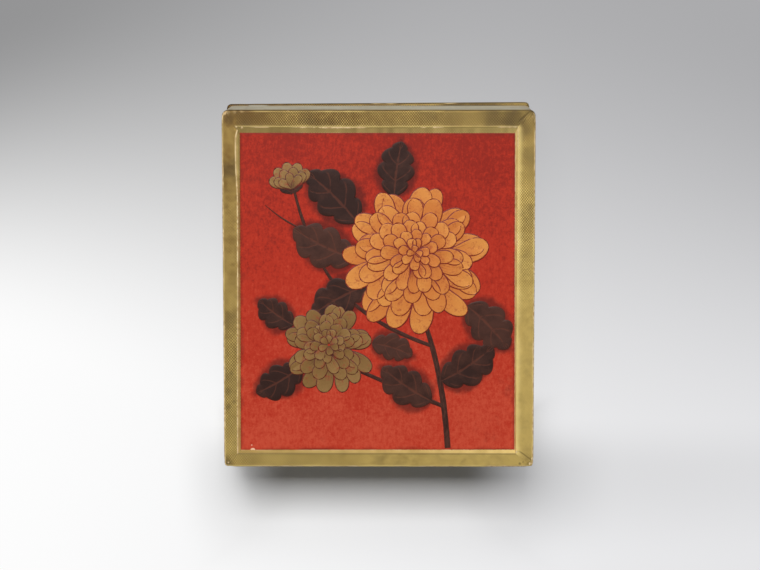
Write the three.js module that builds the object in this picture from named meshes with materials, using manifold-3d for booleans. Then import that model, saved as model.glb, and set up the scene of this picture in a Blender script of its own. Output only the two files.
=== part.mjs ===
// A paper-covered picture box: a deep lid slides down over a tray that stands on a thin base board.
// Millimetres, +Z up. The origin is the middle of the base's underside. +Y runs to the back edge,
// which is the top of the lid's picture, and +X runs to the right of that picture.
import * as THREE from "three";
import { mergeVertices } from "three/addons/utils/BufferGeometryUtils.js";
import Module from "manifold-3d";

const wasm = await Module();
wasm.setup();

// The lid's outside, measured over its papers
const LID_WIDTH = 121.2;
const LID_LENGTH = 139.7;
const TOTAL_HEIGHT = 39.4;

// Plan radius of the lid's corners: the two at the back are more worn than the two in front
const LID_CORNERS = { back: 2.5, front: 1.4 };
const TOP_ARRIS = 0.9; // rounding along the lid's top edge

// The base board's outside, over its edge papers. It sits a little turned under the lid.
const BASE_WIDTH = 120.8;
const BASE_LENGTH = 141.4;
const BASE_CORNER = 0.8;
const BASE_TURN = THREE.MathUtils.degToRad(0.38);

// Stock that the box is made of
const BOARD = 2.2; // lid boards and the tray's floor
const BASE_BOARD = 2.4;
const TRAY_BOARD = 2.0;
const PAPER = 0.4; // gold embossed paper
const SIDE_PAPER = 0.3; // pale paper round the lid's and the tray's sides
const LINING = 0.5; // paper over thin card inside
const PANEL = 0.4; // lacquered picture panel
const PASTE = 0.1; // paste between two layers

// The raised frame on the lid: width of its flat top on each side, and its sloping inner edge
const FRAME_WIDTH = { left: 5.4, right: 6.7, back: 6.6, front: 5.6 };
const FRAME_RISE = 2.1; // from the recess's board up to the frame's face
const BEVEL_RUN = 1.2;
const FRAME_WRAP = 4.5; // how far the frame's gold paper comes down the lid's side
const PANEL_MARGIN = { left: 0.4, right: 0.2, back: 1.35, front: 0.15 }; // gold shown round the picture

// The tray
const TRAY_SLACK = 0.7; // room between the tray and the lid, all round
const RIM_HEIGHT = 32; // of the tray's rim, above the ground
const TURN_IN = 6; // how far a side paper is folded round an edge and up the inside
const TRAY_CORNER = 0.6;

// Cutting
const MITRE_GAP = 0.2; // between two pieces that meet at a corner
const LAP_GAP = 0.3; // where the two ends of a wrapped paper meet
const BEYOND = 5; // how far a cutting block runs past what it cuts
const MITRE_REACH = 20; // how far a mitre's cut runs in and out from its corner
const ARC_STEPS = 6;
const ARRIS_STEPS = 4;

// Heights that follow from the stock
const BASE_TOP = PAPER + PASTE + BASE_BOARD; // top of the bare base board
const LEDGE = BASE_TOP + PASTE + PAPER; // top of the gold paper that the lid stands on
const SKIRT = LEDGE + PASTE; // lowest edge of the lid
const FRAME_CORE_TOP = TOTAL_HEIGHT - PAPER - PASTE;
const RECESS_FLOOR = TOTAL_HEIGHT - FRAME_RISE; // first layer on the lid's top board
const LID_BOARD_TOP = RECESS_FLOOR - PASTE;
const LID_BOARD_UNDER = LID_BOARD_TOP - BOARD;
const WRAP_EDGE = TOTAL_HEIGHT - FRAME_WRAP;

const MATERIALS = {
  pasteboard: new THREE.MeshStandardMaterial({ color: 0x9c8a6a, roughness: 0.95 }),
  gold_paper: new THREE.MeshStandardMaterial({ color: 0xa38a48, roughness: 0.5, metalness: 0.45 }),
  red_lacquer: new THREE.MeshStandardMaterial({ color: 0xb8352a, roughness: 0.4 }),
  pale_paper: new THREE.MeshStandardMaterial({ color: 0xc4bfae, roughness: 0.85 }),
  lining_paper: new THREE.MeshStandardMaterial({ color: 0xdccfae, roughness: 0.9 }),
  base_paper: new THREE.MeshStandardMaterial({ color: 0x6f5d40, roughness: 0.85 }),
};

const lidHalf = { x: LID_WIDTH / 2, y: LID_LENGTH / 2 };
const baseHalf = { x: BASE_WIDTH / 2, y: BASE_LENGTH / 2 };

// Joining and cutting

function solid(geometry) {
  const bare = geometry.clone();
  bare.deleteAttribute("normal");
  bare.deleteAttribute("uv");
  const merged = mergeVertices(bare, 1e-4);
  return new wasm.Manifold(
    new wasm.Mesh({
      numProp: 3,
      vertProperties: new Float32Array(merged.attributes.position.array),
      triVerts: new Uint32Array(merged.index.array),
    }),
  );
}

function geometryOf(manifold) {
  const { vertProperties, triVerts } = manifold.getMesh();
  const geometry = new THREE.BufferGeometry();
  geometry.setAttribute("position", new THREE.BufferAttribute(vertProperties, 3));
  geometry.setIndex(new THREE.BufferAttribute(triVerts, 1));
  const faceted = geometry.toNonIndexed();
  faceted.computeVertexNormals();
  return faceted;
}

function piece(name, shape, slot) {
  const mesh = new THREE.Mesh(geometryOf(shape), MATERIALS[slot]);
  mesh.name = name;
  return mesh;
}

// A rectangle about the origin, taken in by an inset, with the radii of its back and front corners
function outline(half, inset, corners) {
  const x = half.x - inset;
  const y = half.y - inset;
  const back = Math.max(corners.back - inset, 0);
  const front = Math.max(corners.front - inset, 0);
  const turns = [
    { at: [x, -y], radius: front },
    { at: [x, y], radius: back },
    { at: [-x, y], radius: back },
    { at: [-x, -y], radius: front },
  ];
  const shape = new THREE.Shape();
  shape.moveTo(x - front, -y);
  turns.forEach(({ at, radius }, k) => {
    const centre = at.map((value) => value - Math.sign(value) * radius);
    const from = (k - 1) * (Math.PI / 2);
    if (radius > 0) shape.absarc(...centre, radius, from, from + Math.PI / 2);
    else if (k > 0) shape.lineTo(...at);
  });
  shape.closePath();
  return shape;
}

function prism(shape, low, high) {
  const geometry = new THREE.ExtrudeGeometry(shape, {
    depth: high - low,
    bevelEnabled: false,
    curveSegments: ARC_STEPS,
  });
  return solid(geometry.translate(0, 0, low));
}

// A prism whose top edge is rounded over. The same rounding at its foot is cut away.
function roundedPrism(shape, low, high, arris) {
  const geometry = new THREE.ExtrudeGeometry(shape, {
    depth: high - low + BEYOND - 2 * arris,
    bevelEnabled: true,
    bevelThickness: arris,
    bevelSize: arris,
    bevelOffset: -arris,
    bevelSegments: ARRIS_STEPS,
    curveSegments: ARC_STEPS,
  });
  const foot = block(lidHalf, -BEYOND, low - 2 * BEYOND, low);
  return solid(geometry.translate(0, 0, low - BEYOND + arris)).subtract(foot);
}

function box(xs, ys, zs) {
  const geometry = new THREE.BoxGeometry(xs[1] - xs[0], ys[1] - ys[0], zs[1] - zs[0]);
  return solid(geometry.translate((xs[0] + xs[1]) / 2, (ys[0] + ys[1]) / 2, (zs[0] + zs[1]) / 2));
}

const SHARP = { back: 0, front: 0 };

function block(half, inset, low, high, corners = SHARP) {
  return prism(outline(half, inset, corners), low, high);
}

// A four-sided funnel between two heights, each with its own rectangle [left, right, front, back]
function funnel(lowRect, low, highRect, high) {
  const ring = ([left, right, front, back], z) => [
    [left, front, z],
    [right, front, z],
    [right, back, z],
    [left, back, z],
  ];
  const points = [...ring(lowRect, low), ...ring(highRect, high)];
  const faces = [0, 2, 1, 0, 3, 2, 4, 5, 6, 4, 6, 7];
  for (let k = 0; k < 4; k++) {
    const next = (k + 1) % 4;
    faces.push(k, next, next + 4, k, next + 4, k + 4);
  }
  const geometry = new THREE.BufferGeometry();
  geometry.setAttribute("position", new THREE.Float32BufferAttribute(points.flat(), 3));
  geometry.setIndex(faces);
  return solid(geometry);
}

// Cuts a ring into its four sides along mitres that run in from the corners. insets gives each
// side's width, so that unequal strips still meet corner to corner.
const SIDES = ["back", "right", "front", "left"];
const EVEN = { left: 1, right: 1, back: 1, front: 1 };

function mitred(ring, half, insets) {
  const corners = [
    { at: new THREE.Vector2(-half.x, half.y), inward: new THREE.Vector2(insets.left, -insets.back) },
    { at: new THREE.Vector2(half.x, half.y), inward: new THREE.Vector2(-insets.right, -insets.back) },
    { at: new THREE.Vector2(half.x, -half.y), inward: new THREE.Vector2(-insets.right, insets.front) },
    { at: new THREE.Vector2(-half.x, -half.y), inward: new THREE.Vector2(insets.left, insets.front) },
  ];
  for (const corner of corners) corner.inward.setLength(MITRE_REACH);
  return SIDES.map((side, k) => {
    const start = corners[k];
    const end = corners[(k + 1) % 4];
    const along = end.at.clone().sub(start.at).setLength(MITRE_GAP / Math.SQRT2);
    const plan = [
      start.at.clone().sub(start.inward).add(along),
      start.at.clone().add(start.inward).add(along),
      end.at.clone().add(end.inward).sub(along),
      end.at.clone().sub(end.inward).sub(along),
    ];
    const wedge = prism(new THREE.Shape(plan), -BEYOND, TOTAL_HEIGHT + BEYOND);
    return { side, shape: ring.intersect(wedge) };
  });
}

function sidePieces(stem, ring, half, insets, slot) {
  return mitred(ring, half, insets).map(({ side, shape }) => piece(`${stem}_${side}`, shape, slot));
}

// A paper wound once round a box has its two ends meeting near a corner, where a narrow gap shows
function lap(ring, half, corner) {
  const x = corner.x * (half.x - 2 * BEYOND);
  const ys = [corner.y * (half.y - BEYOND), corner.y * (half.y + BEYOND)].sort((a, b) => a - b);
  return ring.subtract(box([x, x + LAP_GAP], ys, [-BEYOND, TOTAL_HEIGHT + BEYOND]));
}

// The lid

const ridge = [
  -lidHalf.x + FRAME_WIDTH.left,
  lidHalf.x - FRAME_WIDTH.right,
  -lidHalf.y + FRAME_WIDTH.front,
  lidHalf.y - FRAME_WIDTH.back,
];
const grown = ([left, right, front, back], by) => [left - by, right + by, front - by, back + by];

// The recess inside the frame, widened by a layer's thickness measured across the slope
function recess(thickness) {
  const slope = Math.atan2(FRAME_RISE, BEVEL_RUN);
  const across = thickness / Math.sin(slope);
  const above = BEYOND * (BEVEL_RUN / FRAME_RISE);
  return funnel(
    grown(ridge, across - BEVEL_RUN),
    RECESS_FLOOR,
    grown(ridge, across + above),
    TOTAL_HEIGHT + BEYOND,
  );
}

function framePapers() {
  const under = WRAP_EDGE - BEYOND;
  const carried = block(lidHalf, PAPER, under, TOTAL_HEIGHT - PAPER, LID_CORNERS)
    .subtract(recess(PAPER))
    .add(block(lidHalf, PAPER, under, RECESS_FLOOR, LID_CORNERS));
  const ring = roundedPrism(outline(lidHalf, 0, LID_CORNERS), WRAP_EDGE, TOTAL_HEIGHT, TOP_ARRIS)
    .subtract(carried)
    .subtract(recess(0));
  return sidePieces("frame_gold", ring, lidHalf, FRAME_WIDTH, "gold_paper");
}

function frameCores() {
  const layers = PAPER + PASTE;
  const ring = block(lidHalf, layers, RECESS_FLOOR, FRAME_CORE_TOP, LID_CORNERS).subtract(recess(layers));
  return sidePieces("frame_core", ring, lidHalf, FRAME_WIDTH, "pasteboard");
}

function recessLayers() {
  const foot = grown(ridge, -BEVEL_RUN - PASTE);
  const goldTop = RECESS_FLOOR + PAPER;
  const gold = box([foot[0], foot[1]], [foot[2], foot[3]], [RECESS_FLOOR, goldTop]);
  const panel = box(
    [foot[0] + PANEL_MARGIN.left, foot[1] - PANEL_MARGIN.right],
    [foot[2] + PANEL_MARGIN.front, foot[3] - PANEL_MARGIN.back],
    [goldTop + PASTE, goldTop + PASTE + PANEL],
  );
  return [piece("recess_gold_paper", gold, "gold_paper"), piece("picture_panel", panel, "red_lacquer")];
}

function lidBoards() {
  const outer = PAPER + PASTE;
  const top = block(lidHalf, outer, LID_BOARD_UNDER, LID_BOARD_TOP, LID_CORNERS);
  const low = SKIRT + SIDE_PAPER + PASTE;
  const high = LID_BOARD_UNDER - PASTE;
  const walls = block(lidHalf, outer, low, high, LID_CORNERS).subtract(
    block(lidHalf, outer + BOARD, low - BEYOND, high + BEYOND),
  );
  return [
    piece("lid_top_board", top, "pasteboard"),
    ...sidePieces("lid_wall", walls, lidHalf, EVEN, "pasteboard"),
  ];
}

// Round the outside, under the lower edge of the walls and a little way up inside
function lidSidePaper() {
  const outer = PAPER - SIDE_PAPER;
  const inner = PAPER + 2 * PASTE + BOARD + SIDE_PAPER;
  const high = WRAP_EDGE - PASTE;
  const turned = SKIRT + TURN_IN;
  const walls = block(lidHalf, PAPER, SKIRT + SIDE_PAPER, high + BEYOND, LID_CORNERS).subtract(
    block(lidHalf, inner - SIDE_PAPER, SKIRT, high + BEYOND),
  );
  const paper = block(lidHalf, outer, SKIRT, high, LID_CORNERS)
    .subtract(block(lidHalf, inner, SKIRT - BEYOND, high + BEYOND))
    .subtract(walls)
    .subtract(block(lidHalf, PAPER, turned, high + BEYOND, LID_CORNERS));
  return piece("lid_side_paper", lap(paper, lidHalf, { x: -1, y: 1 }), "pale_paper");
}

function lidLinings() {
  const inside = PAPER + 2 * PASTE + BOARD; // against the walls
  const ceiling = LID_BOARD_UNDER - PASTE - LINING;
  const top = block(lidHalf, inside, ceiling, ceiling + LINING);
  const low = SKIRT + TURN_IN + PASTE;
  const high = ceiling - PASTE;
  const walls = block(lidHalf, inside, low, high).subtract(
    block(lidHalf, inside + LINING, low - BEYOND, high + BEYOND),
  );
  return [
    piece("lid_ceiling_lining", top, "lining_paper"),
    piece("lid_wall_lining", lap(walls, lidHalf, { x: 1, y: 1 }), "lining_paper"),
  ];
}

// The tray

const lidInside = PAPER + 2 * PASTE + BOARD + LINING;
const trayHalf = { x: lidHalf.x - lidInside - TRAY_SLACK, y: lidHalf.y - lidInside - TRAY_SLACK };
const TRAY_CORNERS = { back: TRAY_CORNER, front: TRAY_CORNER };
const TRAY_FLOOR = BASE_TOP + PASTE + BOARD; // top of the floor board

function trayBoards() {
  const outer = SIDE_PAPER + PASTE;
  const low = BASE_TOP + PASTE;
  const high = RIM_HEIGHT - SIDE_PAPER - PASTE;
  const walls = block(trayHalf, outer, low, high, TRAY_CORNERS).subtract(
    block(trayHalf, outer + TRAY_BOARD, low - BEYOND, high + BEYOND),
  );
  const floor = block(trayHalf, outer + TRAY_BOARD + PASTE, low, TRAY_FLOOR);
  return [
    piece("tray_floor_board", floor, "pasteboard"),
    ...sidePieces("tray_wall", walls, trayHalf, EVEN, "pasteboard"),
  ];
}

// Up the outside, over the rim and a little way down inside
function traySidePaper() {
  const low = BASE_TOP + PASTE;
  const inner = 2 * (SIDE_PAPER + PASTE) + TRAY_BOARD;
  const turned = RIM_HEIGHT - TURN_IN;
  const walls = block(trayHalf, SIDE_PAPER, low - BEYOND, RIM_HEIGHT - SIDE_PAPER, TRAY_CORNERS).subtract(
    block(trayHalf, inner - SIDE_PAPER, low - BEYOND, RIM_HEIGHT),
  );
  const paper = block(trayHalf, 0, low, RIM_HEIGHT, TRAY_CORNERS)
    .subtract(block(trayHalf, inner, low - BEYOND, RIM_HEIGHT + BEYOND))
    .subtract(walls)
    .subtract(block(trayHalf, SIDE_PAPER, low - BEYOND, turned, TRAY_CORNERS));
  return piece("tray_side_paper", lap(paper, trayHalf, { x: 1, y: -1 }), "pale_paper");
}

function trayLinings() {
  const inside = SIDE_PAPER + 2 * PASTE + TRAY_BOARD;
  const floorLow = TRAY_FLOOR + PASTE;
  const floor = block(trayHalf, inside, floorLow, floorLow + LINING);
  const low = floorLow + LINING + PASTE;
  const high = RIM_HEIGHT - TURN_IN - PASTE;
  const walls = block(trayHalf, inside, low, high).subtract(
    block(trayHalf, inside + LINING, low - BEYOND, high + BEYOND),
  );
  return [
    piece("tray_floor_lining", floor, "lining_paper"),
    piece("tray_wall_lining", lap(walls, trayHalf, { x: -1, y: -1 }), "lining_paper"),
  ];
}

// The base

const BASE_CORNERS = { back: BASE_CORNER, front: BASE_CORNER };

function base() {
  const layers = PAPER + PASTE;
  const board = block(baseHalf, layers, layers, BASE_TOP, BASE_CORNERS);
  // Each edge paper folds over the board's edge, from under the tray's foot to the bottom paper
  const hidden = { x: trayHalf.x + 2 * PASTE, y: trayHalf.y + 2 * PASTE };
  const ring = block(baseHalf, 0, 0, LEDGE, BASE_CORNERS)
    .subtract(block(hidden, 0, -BEYOND, LEDGE + BEYOND))
    .subtract(block(baseHalf, PAPER, PAPER, BASE_TOP + PASTE, BASE_CORNERS));
  const bottom = block(hidden, PASTE, 0, PAPER);
  return [
    piece("base_board", board, "pasteboard"),
    ...sidePieces("base_edge", ring, baseHalf, EVEN, "gold_paper"),
    piece("base_bottom_paper", bottom, "base_paper"),
  ];
}

const lid = new THREE.Group();
lid.add(...framePapers(), ...frameCores(), ...recessLayers());
lid.add(...lidBoards(), lidSidePaper(), ...lidLinings());

const tray = new THREE.Group();
tray.add(...base(), ...trayBoards(), traySidePaper(), ...trayLinings());
tray.rotation.z = BASE_TURN;

const pictureBox = new THREE.Group();
pictureBox.add(lid, tray);

export default pictureBox;
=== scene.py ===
# %% [markdown]
# # A paper-covered picture box
# The box's boards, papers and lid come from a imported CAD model, in metres, with +Z up. Blender gives them
# their looks: embossed gold paper folded over a raised frame, a red lacquer panel with a chrysanthemum
# spray in low relief, pale side papers, linings, and the wear of a century of handling.
# The first cell loads that model as a fixed frame. Nothing in it is moved later.

# %% Load the frame
import math

import bpy
import numpy as np
from mathutils import Matrix, Vector


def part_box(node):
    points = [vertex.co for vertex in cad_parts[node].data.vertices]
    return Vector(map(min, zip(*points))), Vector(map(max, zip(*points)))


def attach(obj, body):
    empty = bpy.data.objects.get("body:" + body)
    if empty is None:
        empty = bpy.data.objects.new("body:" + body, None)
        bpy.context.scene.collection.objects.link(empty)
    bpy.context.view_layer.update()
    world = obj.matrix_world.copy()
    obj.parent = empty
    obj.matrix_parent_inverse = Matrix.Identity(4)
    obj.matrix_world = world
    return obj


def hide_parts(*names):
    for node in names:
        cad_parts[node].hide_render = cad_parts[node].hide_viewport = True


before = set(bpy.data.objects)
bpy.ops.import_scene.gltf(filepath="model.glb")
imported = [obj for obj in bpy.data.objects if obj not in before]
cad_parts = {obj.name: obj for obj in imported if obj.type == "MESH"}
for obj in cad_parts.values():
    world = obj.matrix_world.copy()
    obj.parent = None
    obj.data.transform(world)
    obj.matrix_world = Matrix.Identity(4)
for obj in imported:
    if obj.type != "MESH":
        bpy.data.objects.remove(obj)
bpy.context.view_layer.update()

MM = 0.001
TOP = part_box("frame_gold_back")[1].z
print("nodes", len(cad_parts), "top of the box at", round(TOP / MM, 2), "mm")

# %% [markdown]
# ## The camera first
# The box lies on its back and the camera looks down on it from a little beyond its back edge, so that a
# sliver of the back wall shows. A long lens keeps the lid's sides almost parallel. The place, the aim and
# the small roll come from the four corners of the lid in the picture.

# %% Camera
CAMERA_PLACE = Vector((5.5, 120.5, 1003.5)) * MM
CAMERA_AIM = Vector((0.5, 2.0, 39.4)) * MM
CAMERA_ROLL = math.radians(-0.02)
SENSOR = 36.0
FOCAL_WIDTHS = 2500 / 760  # focal length as a share of the picture's width


def look_at(thing, place, aim, roll=0.0):
    """Points an object's -Z at aim, with the box's back edge towards the top of its view."""
    away = (aim - place).normalized()
    side = away.cross(Vector((0, 1, 0))).normalized()
    top = side.cross(away)
    turned = side * math.cos(roll) + top * math.sin(roll)
    lifted = top * math.cos(roll) - side * math.sin(roll)
    rows = zip(turned, lifted, -away, place)
    thing.matrix_world = Matrix([*rows, (0, 0, 0, 1)])


bpy.ops.object.camera_add()
camera = bpy.context.object
camera.data.sensor_width = SENSOR
camera.data.lens = SENSOR * FOCAL_WIDTHS
look_at(camera, CAMERA_PLACE, CAMERA_AIM, CAMERA_ROLL)
bpy.context.scene.camera = camera
bpy.context.scene.view_settings.view_transform = "Standard"
print("lens", round(camera.data.lens, 1), "mm")

# %% [markdown]
# ## Small tools
# A sheet of paper starts as a flat grid primitive. Its columns and rows are given as distances in metres,
# closer together where the paper will fold. The flat distances u and v are kept as its UV map, and a
# folding rule then says where each point of the flat sheet goes.

# %% Tools for pieces


def start_clean():
    if bpy.context.object and bpy.context.object.mode != "OBJECT":
        bpy.ops.object.mode_set(mode="OBJECT")
    bpy.ops.object.select_all(action="DESELECT")


def only(piece):
    start_clean()
    piece.select_set(True)
    bpy.context.view_layer.objects.active = piece


def points_of(piece):
    found = np.empty(len(piece.data.vertices) * 3)
    piece.data.vertices.foreach_get("co", found)
    return found.reshape(-1, 3)


def move_points(piece, places):
    piece.data.vertices.foreach_set("co", np.asarray(places, float).ravel())
    piece.data.update()


def stations(marks, step):
    """Distances that hit every mark, with steps no longer than that between them."""
    marks = np.unique(np.round(marks, 9))
    found = [marks[:1]]
    for start, end in zip(marks[:-1], marks[1:]):
        count = max(1, math.ceil((end - start) / step - 1e-6))
        found.append(np.linspace(start, end, count + 1)[1:])
    return np.concatenate(found)


def flat_sheet(name, across, up):
    """A flat grid. Returns the piece, and how far across and up each of its points is."""
    start_clean()
    columns, rows = len(across) - 1, len(up) - 1
    bpy.ops.mesh.primitive_grid_add(
        x_subdivisions=columns, y_subdivisions=rows, size=1, calc_uvs=False
    )
    piece = bpy.context.object
    piece.name = piece.data.name = name
    flat = points_of(piece) + 0.5
    u = across[np.rint(flat[:, 0] * columns).astype(int)]
    v = up[np.rint(flat[:, 1] * rows).astype(int)]
    return piece, u, v


def give_uv(piece, u, v):
    """Keeps the flat sheet's own coordinates, in metres, as the UV map named sheet."""
    corners = np.empty(len(piece.data.loops), int)
    piece.data.loops.foreach_get("vertex_index", corners)
    layer = piece.data.uv_layers.new(name="sheet")
    layer.data.foreach_set("uv", np.stack([u[corners], v[corners]], 1).ravel())


def give_value(piece, name, values):
    layer = piece.data.attributes.new(name, "FLOAT", "POINT")
    layer.data.foreach_set("value", np.asarray(values, np.float32))


def apply_modifier(piece, kind, **settings):
    only(piece)
    modifier = piece.modifiers.new(kind.title(), kind)
    for name, value in settings.items():
        setattr(modifier, name, value)
    bpy.ops.object.modifier_apply(modifier=modifier.name)


def give_thickness(piece, thickness):
    """Thickens a sheet behind its face, so the face stays where it was laid."""
    apply_modifier(piece, "SOLIDIFY", thickness=thickness, offset=-1)


def smooth(piece, degrees=40):
    only(piece)
    bpy.ops.object.shade_smooth_by_angle(angle=math.radians(degrees))


def finish_piece(piece, material, body, slot, *nodes):
    piece.data.materials.clear()
    piece.data.materials.append(material)
    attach(piece, body)
    if nodes:
        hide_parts(*nodes)
    print(piece.name, len(piece.data.polygons), "faces")


# %% [markdown]
# Hand work is never straight. A smooth random field, the same on every run, bends edges, dents corners
# and decides where the paper has worn through.

# %% A smooth random field


def unevenness(x, y, size, seed, layers=1):
    """Smooth noise from -1 to 1 over x and y in metres, with lumps of that size."""
    table = np.random.default_rng(seed).uniform(-1, 1, (256, 256))
    total = np.zeros(np.shape(x))
    weight = 1.0
    for layer in range(layers):
        step = size / 2**layer
        a, b = np.asarray(x) / step + 37.3 * layer, np.asarray(y) / step + 11.7 * layer
        i, j = np.floor(a).astype(int), np.floor(b).astype(int)
        s, t = a - i, b - j
        s, t = s * s * (3 - 2 * s), t * t * (3 - 2 * t)
        corner = [table[(i + p) % 256, (j + q) % 256] for p in (0, 1) for q in (0, 1)]
        low = corner[0] * (1 - t) + corner[1] * t
        high = corner[2] * (1 - t) + corner[3] * t
        total += weight * (low * (1 - s) + high * s)
        weight *= 0.5
    return total / (2 - 2 * weight)


def fade(x, low, high):
    """0 below low, 1 above high, smooth between. With high below low it falls instead."""
    t = np.clip((np.asarray(x, float) - low) / (high - low), 0, 1)
    return t * t * (3 - 2 * t)


def turned(x, y, angle):
    """Turns places about the origin, counter-clockwise as seen from above."""
    return x * np.cos(angle) - y * np.sin(angle), x * np.sin(angle) + y * np.cos(angle)


def end_to_end(pair, share):
    """The value at that share of the way from a side's low end to its high end."""
    return pair[0] + (pair[1] - pair[0]) * share


# %% [markdown]
# ## Shader maths as Python expressions
# A wire wraps one output socket. Adding or multiplying wires adds Math nodes, so a pattern can be written
# as a formula. A look collects the nodes of one material around its Principled shader.

# %% Wires


class Wire:
    """One output socket of a shader node, which Python's operators combine."""

    def __init__(self, look, socket):
        self.look = look
        self.socket = socket

    def maths(self, operation, *others):
        return self.look.node("Math", {"operation": operation}, self, *others)

    def __add__(self, other):
        return self.maths("ADD", other)

    def __mul__(self, other):
        return self.maths("MULTIPLY", other)

    def __sub__(self, other):
        return self.maths("SUBTRACT", other)

    def __rsub__(self, other):
        return self.look.node("Math", {"operation": "SUBTRACT"}, other, self)

    def __truediv__(self, other):
        return self.maths("DIVIDE", other)

    __radd__ = __add__
    __rmul__ = __mul__

    def cos(self):
        return self.maths("COSINE")

    def size(self):
        return self.maths("ABSOLUTE")

    def larger(self, other):
        return self.maths("MAXIMUM", other)

    def between(self, low, high):
        """0 below low, 1 above high, smooth between. With high below low it falls instead."""
        settings = {"interpolation_type": "SMOOTHSTEP"}
        return self.look.node("MapRange", settings, self, low, high, 0.0, 1.0)


# %% Colours and looks


def srgb(red, green, blue):
    """A colour as a picture gives it, 0 to 255, as the linear colour that a shader wants."""
    shares = [value / 255 for value in (red, green, blue)]
    linear = [s / 12.92 if s <= 0.04045 else ((s + 0.055) / 1.055) ** 2.4 for s in shares]
    return (*linear, 1.0)


class Look:
    """One material, built round its Principled shader."""

    def __init__(self, name, **fixed):
        self.material = bpy.data.materials.new(name)
        self.material.use_nodes = True
        self.tree = self.material.node_tree
        self.shader = self.tree.nodes["Principled BSDF"]
        for socket, value in fixed.items():
            self.shader.inputs[socket.replace("_", " ")].default_value = value

    def put(self, socket, value):
        """Links a wire to an input socket, or sets the socket to a number or a colour."""
        if isinstance(value, Wire):
            self.tree.links.new(value.socket, socket)
        else:
            socket.default_value = value

    def node(self, kind, settings, *values, out=0, **named):
        """Adds a node: its settings first, then its sockets in order, or by name."""
        made = self.tree.nodes.new("ShaderNode" + kind)
        for name, value in settings.items():
            setattr(made, name, value)
        for socket, value in zip(made.inputs, values):
            self.put(socket, value)
        for name, value in named.items():
            self.put(made.inputs[name.replace("_", " ")], value)
        return Wire(self, made.outputs[out])

    def mix(self, share, first, second):
        """Mixes two colours. The Mix node keeps its colour sockets at 6 and 7, and its result at 2."""
        made = self.node("Mix", {"data_type": "RGBA"}, share, out=2).socket.node
        self.put(made.inputs[6], first)
        self.put(made.inputs[7], second)
        return Wire(self, made.outputs[2])

    def here(self):
        return self.node("TexCoord", {}, out="Object")

    def parts(self, vector):
        """The three numbers of a vector."""
        first = self.node("SeparateXYZ", {}, vector)
        return [Wire(self, socket) for socket in first.socket.node.outputs]

    def flat(self):
        """The place on the flat sheet, in metres, before it was folded."""
        return self.node("UVMap", {"uv_map": "sheet"})

    def value(self, name):
        return self.node("Attribute", {"attribute_name": name}, out="Fac")

    def stretched(self, x, y, z):
        return self.node("Mapping", {}, self.here(), Scale=(x, y, z))

    def noise(self, scale, detail=3.0, roughness=0.5, at=None):
        """Noise from 0 to 1 with that many lumps a metre, over Object coordinates unless told."""
        named = {"Scale": scale, "Detail": detail, "Roughness": roughness}
        return self.node("TexNoise", {}, Vector=at or self.here(), **named)

    def specks(self, scale, reach, at=None, uneven=0.0):
        """Small specks, that many a metre each way. Reach is a share of their distance apart."""
        near = self.node("TexVoronoi", {}, Vector=at or self.here(), Scale=scale)
        return (near + uneven).between(reach, reach * 0.5)

    def fibres(self, scale, width, at=None):
        """Long wandering lines as in handmade paper: where a smooth noise crosses its middle."""
        return (self.noise(scale, 2, 0.4, at) - 0.5).size().between(width, 0)

    def bump(self, height, strength, distance):
        return self.node("Bump", {}, Height=height, Strength=strength, Distance=distance)

    def close(self, **inputs):
        for name, value in inputs.items():
            self.put(self.shader.inputs[name.replace("_", " ")], value)
        return self.material


# %% [markdown]
# ## Gold paper
# The gold paper is pressed with a lattice of tiny bosses, staggered like the dots on a dice five. In its
# flat coordinates that is simply the product of two cosines. The metal is thin: along the folds it has
# rubbed off and the cream paper shows, and dirt has settled in the corners. The lattice's hollows are
# darker. The gold is painted lighter to the right and towards the front, with painted shade on the front
# strip and painted highlights on the folds and slopes. On the frame's strips the lattice is pressed into
# the mesh. Elsewhere it is a bump.

# %% Gold paper
# The lattice's lozenges stand the same way on all four sides of the frame
MESH_ACROSS = 0.96 * MM
MESH_DOWN = 1.18 * MM
# Painted light: how much lighter the gold is made per metre to the right and towards the front
PAINTED_LIGHT_TO_RIGHT = 3.7
PAINTED_LIGHT_TO_FRONT = 5.0
GOLD_HOLLOW = srgb(22, 16, 7)  # the bottoms of the lattice's hollows
GOLD_BROWN = srgb(134, 97, 32)
GOLD_LIGHT = srgb(255, 220, 126)
GOLD_HIGHLIGHT = srgb(255, 228, 147)  # painted highlight on the folds and slopes
GOLD_STAIN_AND_SHADE = srgb(80, 58, 28)
CREAM = srgb(232, 206, 158)
CREAM_DARK = srgb(186, 152, 102)


def gold_tone(look, fine):
    """How light the gold is: random tone, painted light to the right and front, painted shade on the front
    strip, lighter at the front left.
    """
    x, y = look.parts(look.here())[:2]
    tone = look.noise(60, 4, 0.6) * 0.8 + fine * 0.8 - 0.15 + x * PAINTED_LIGHT_TO_RIGHT - y * PAINTED_LIGHT_TO_FRONT
    # Painted shade darkens the front strip
    front_strip_shade = y.between(-0.06, -0.066)
    front_left = y.between(-0.01, -0.06) * x.between(-0.01, -0.05)
    return tone - front_strip_shade * 0.13 + front_left * 0.16


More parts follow.
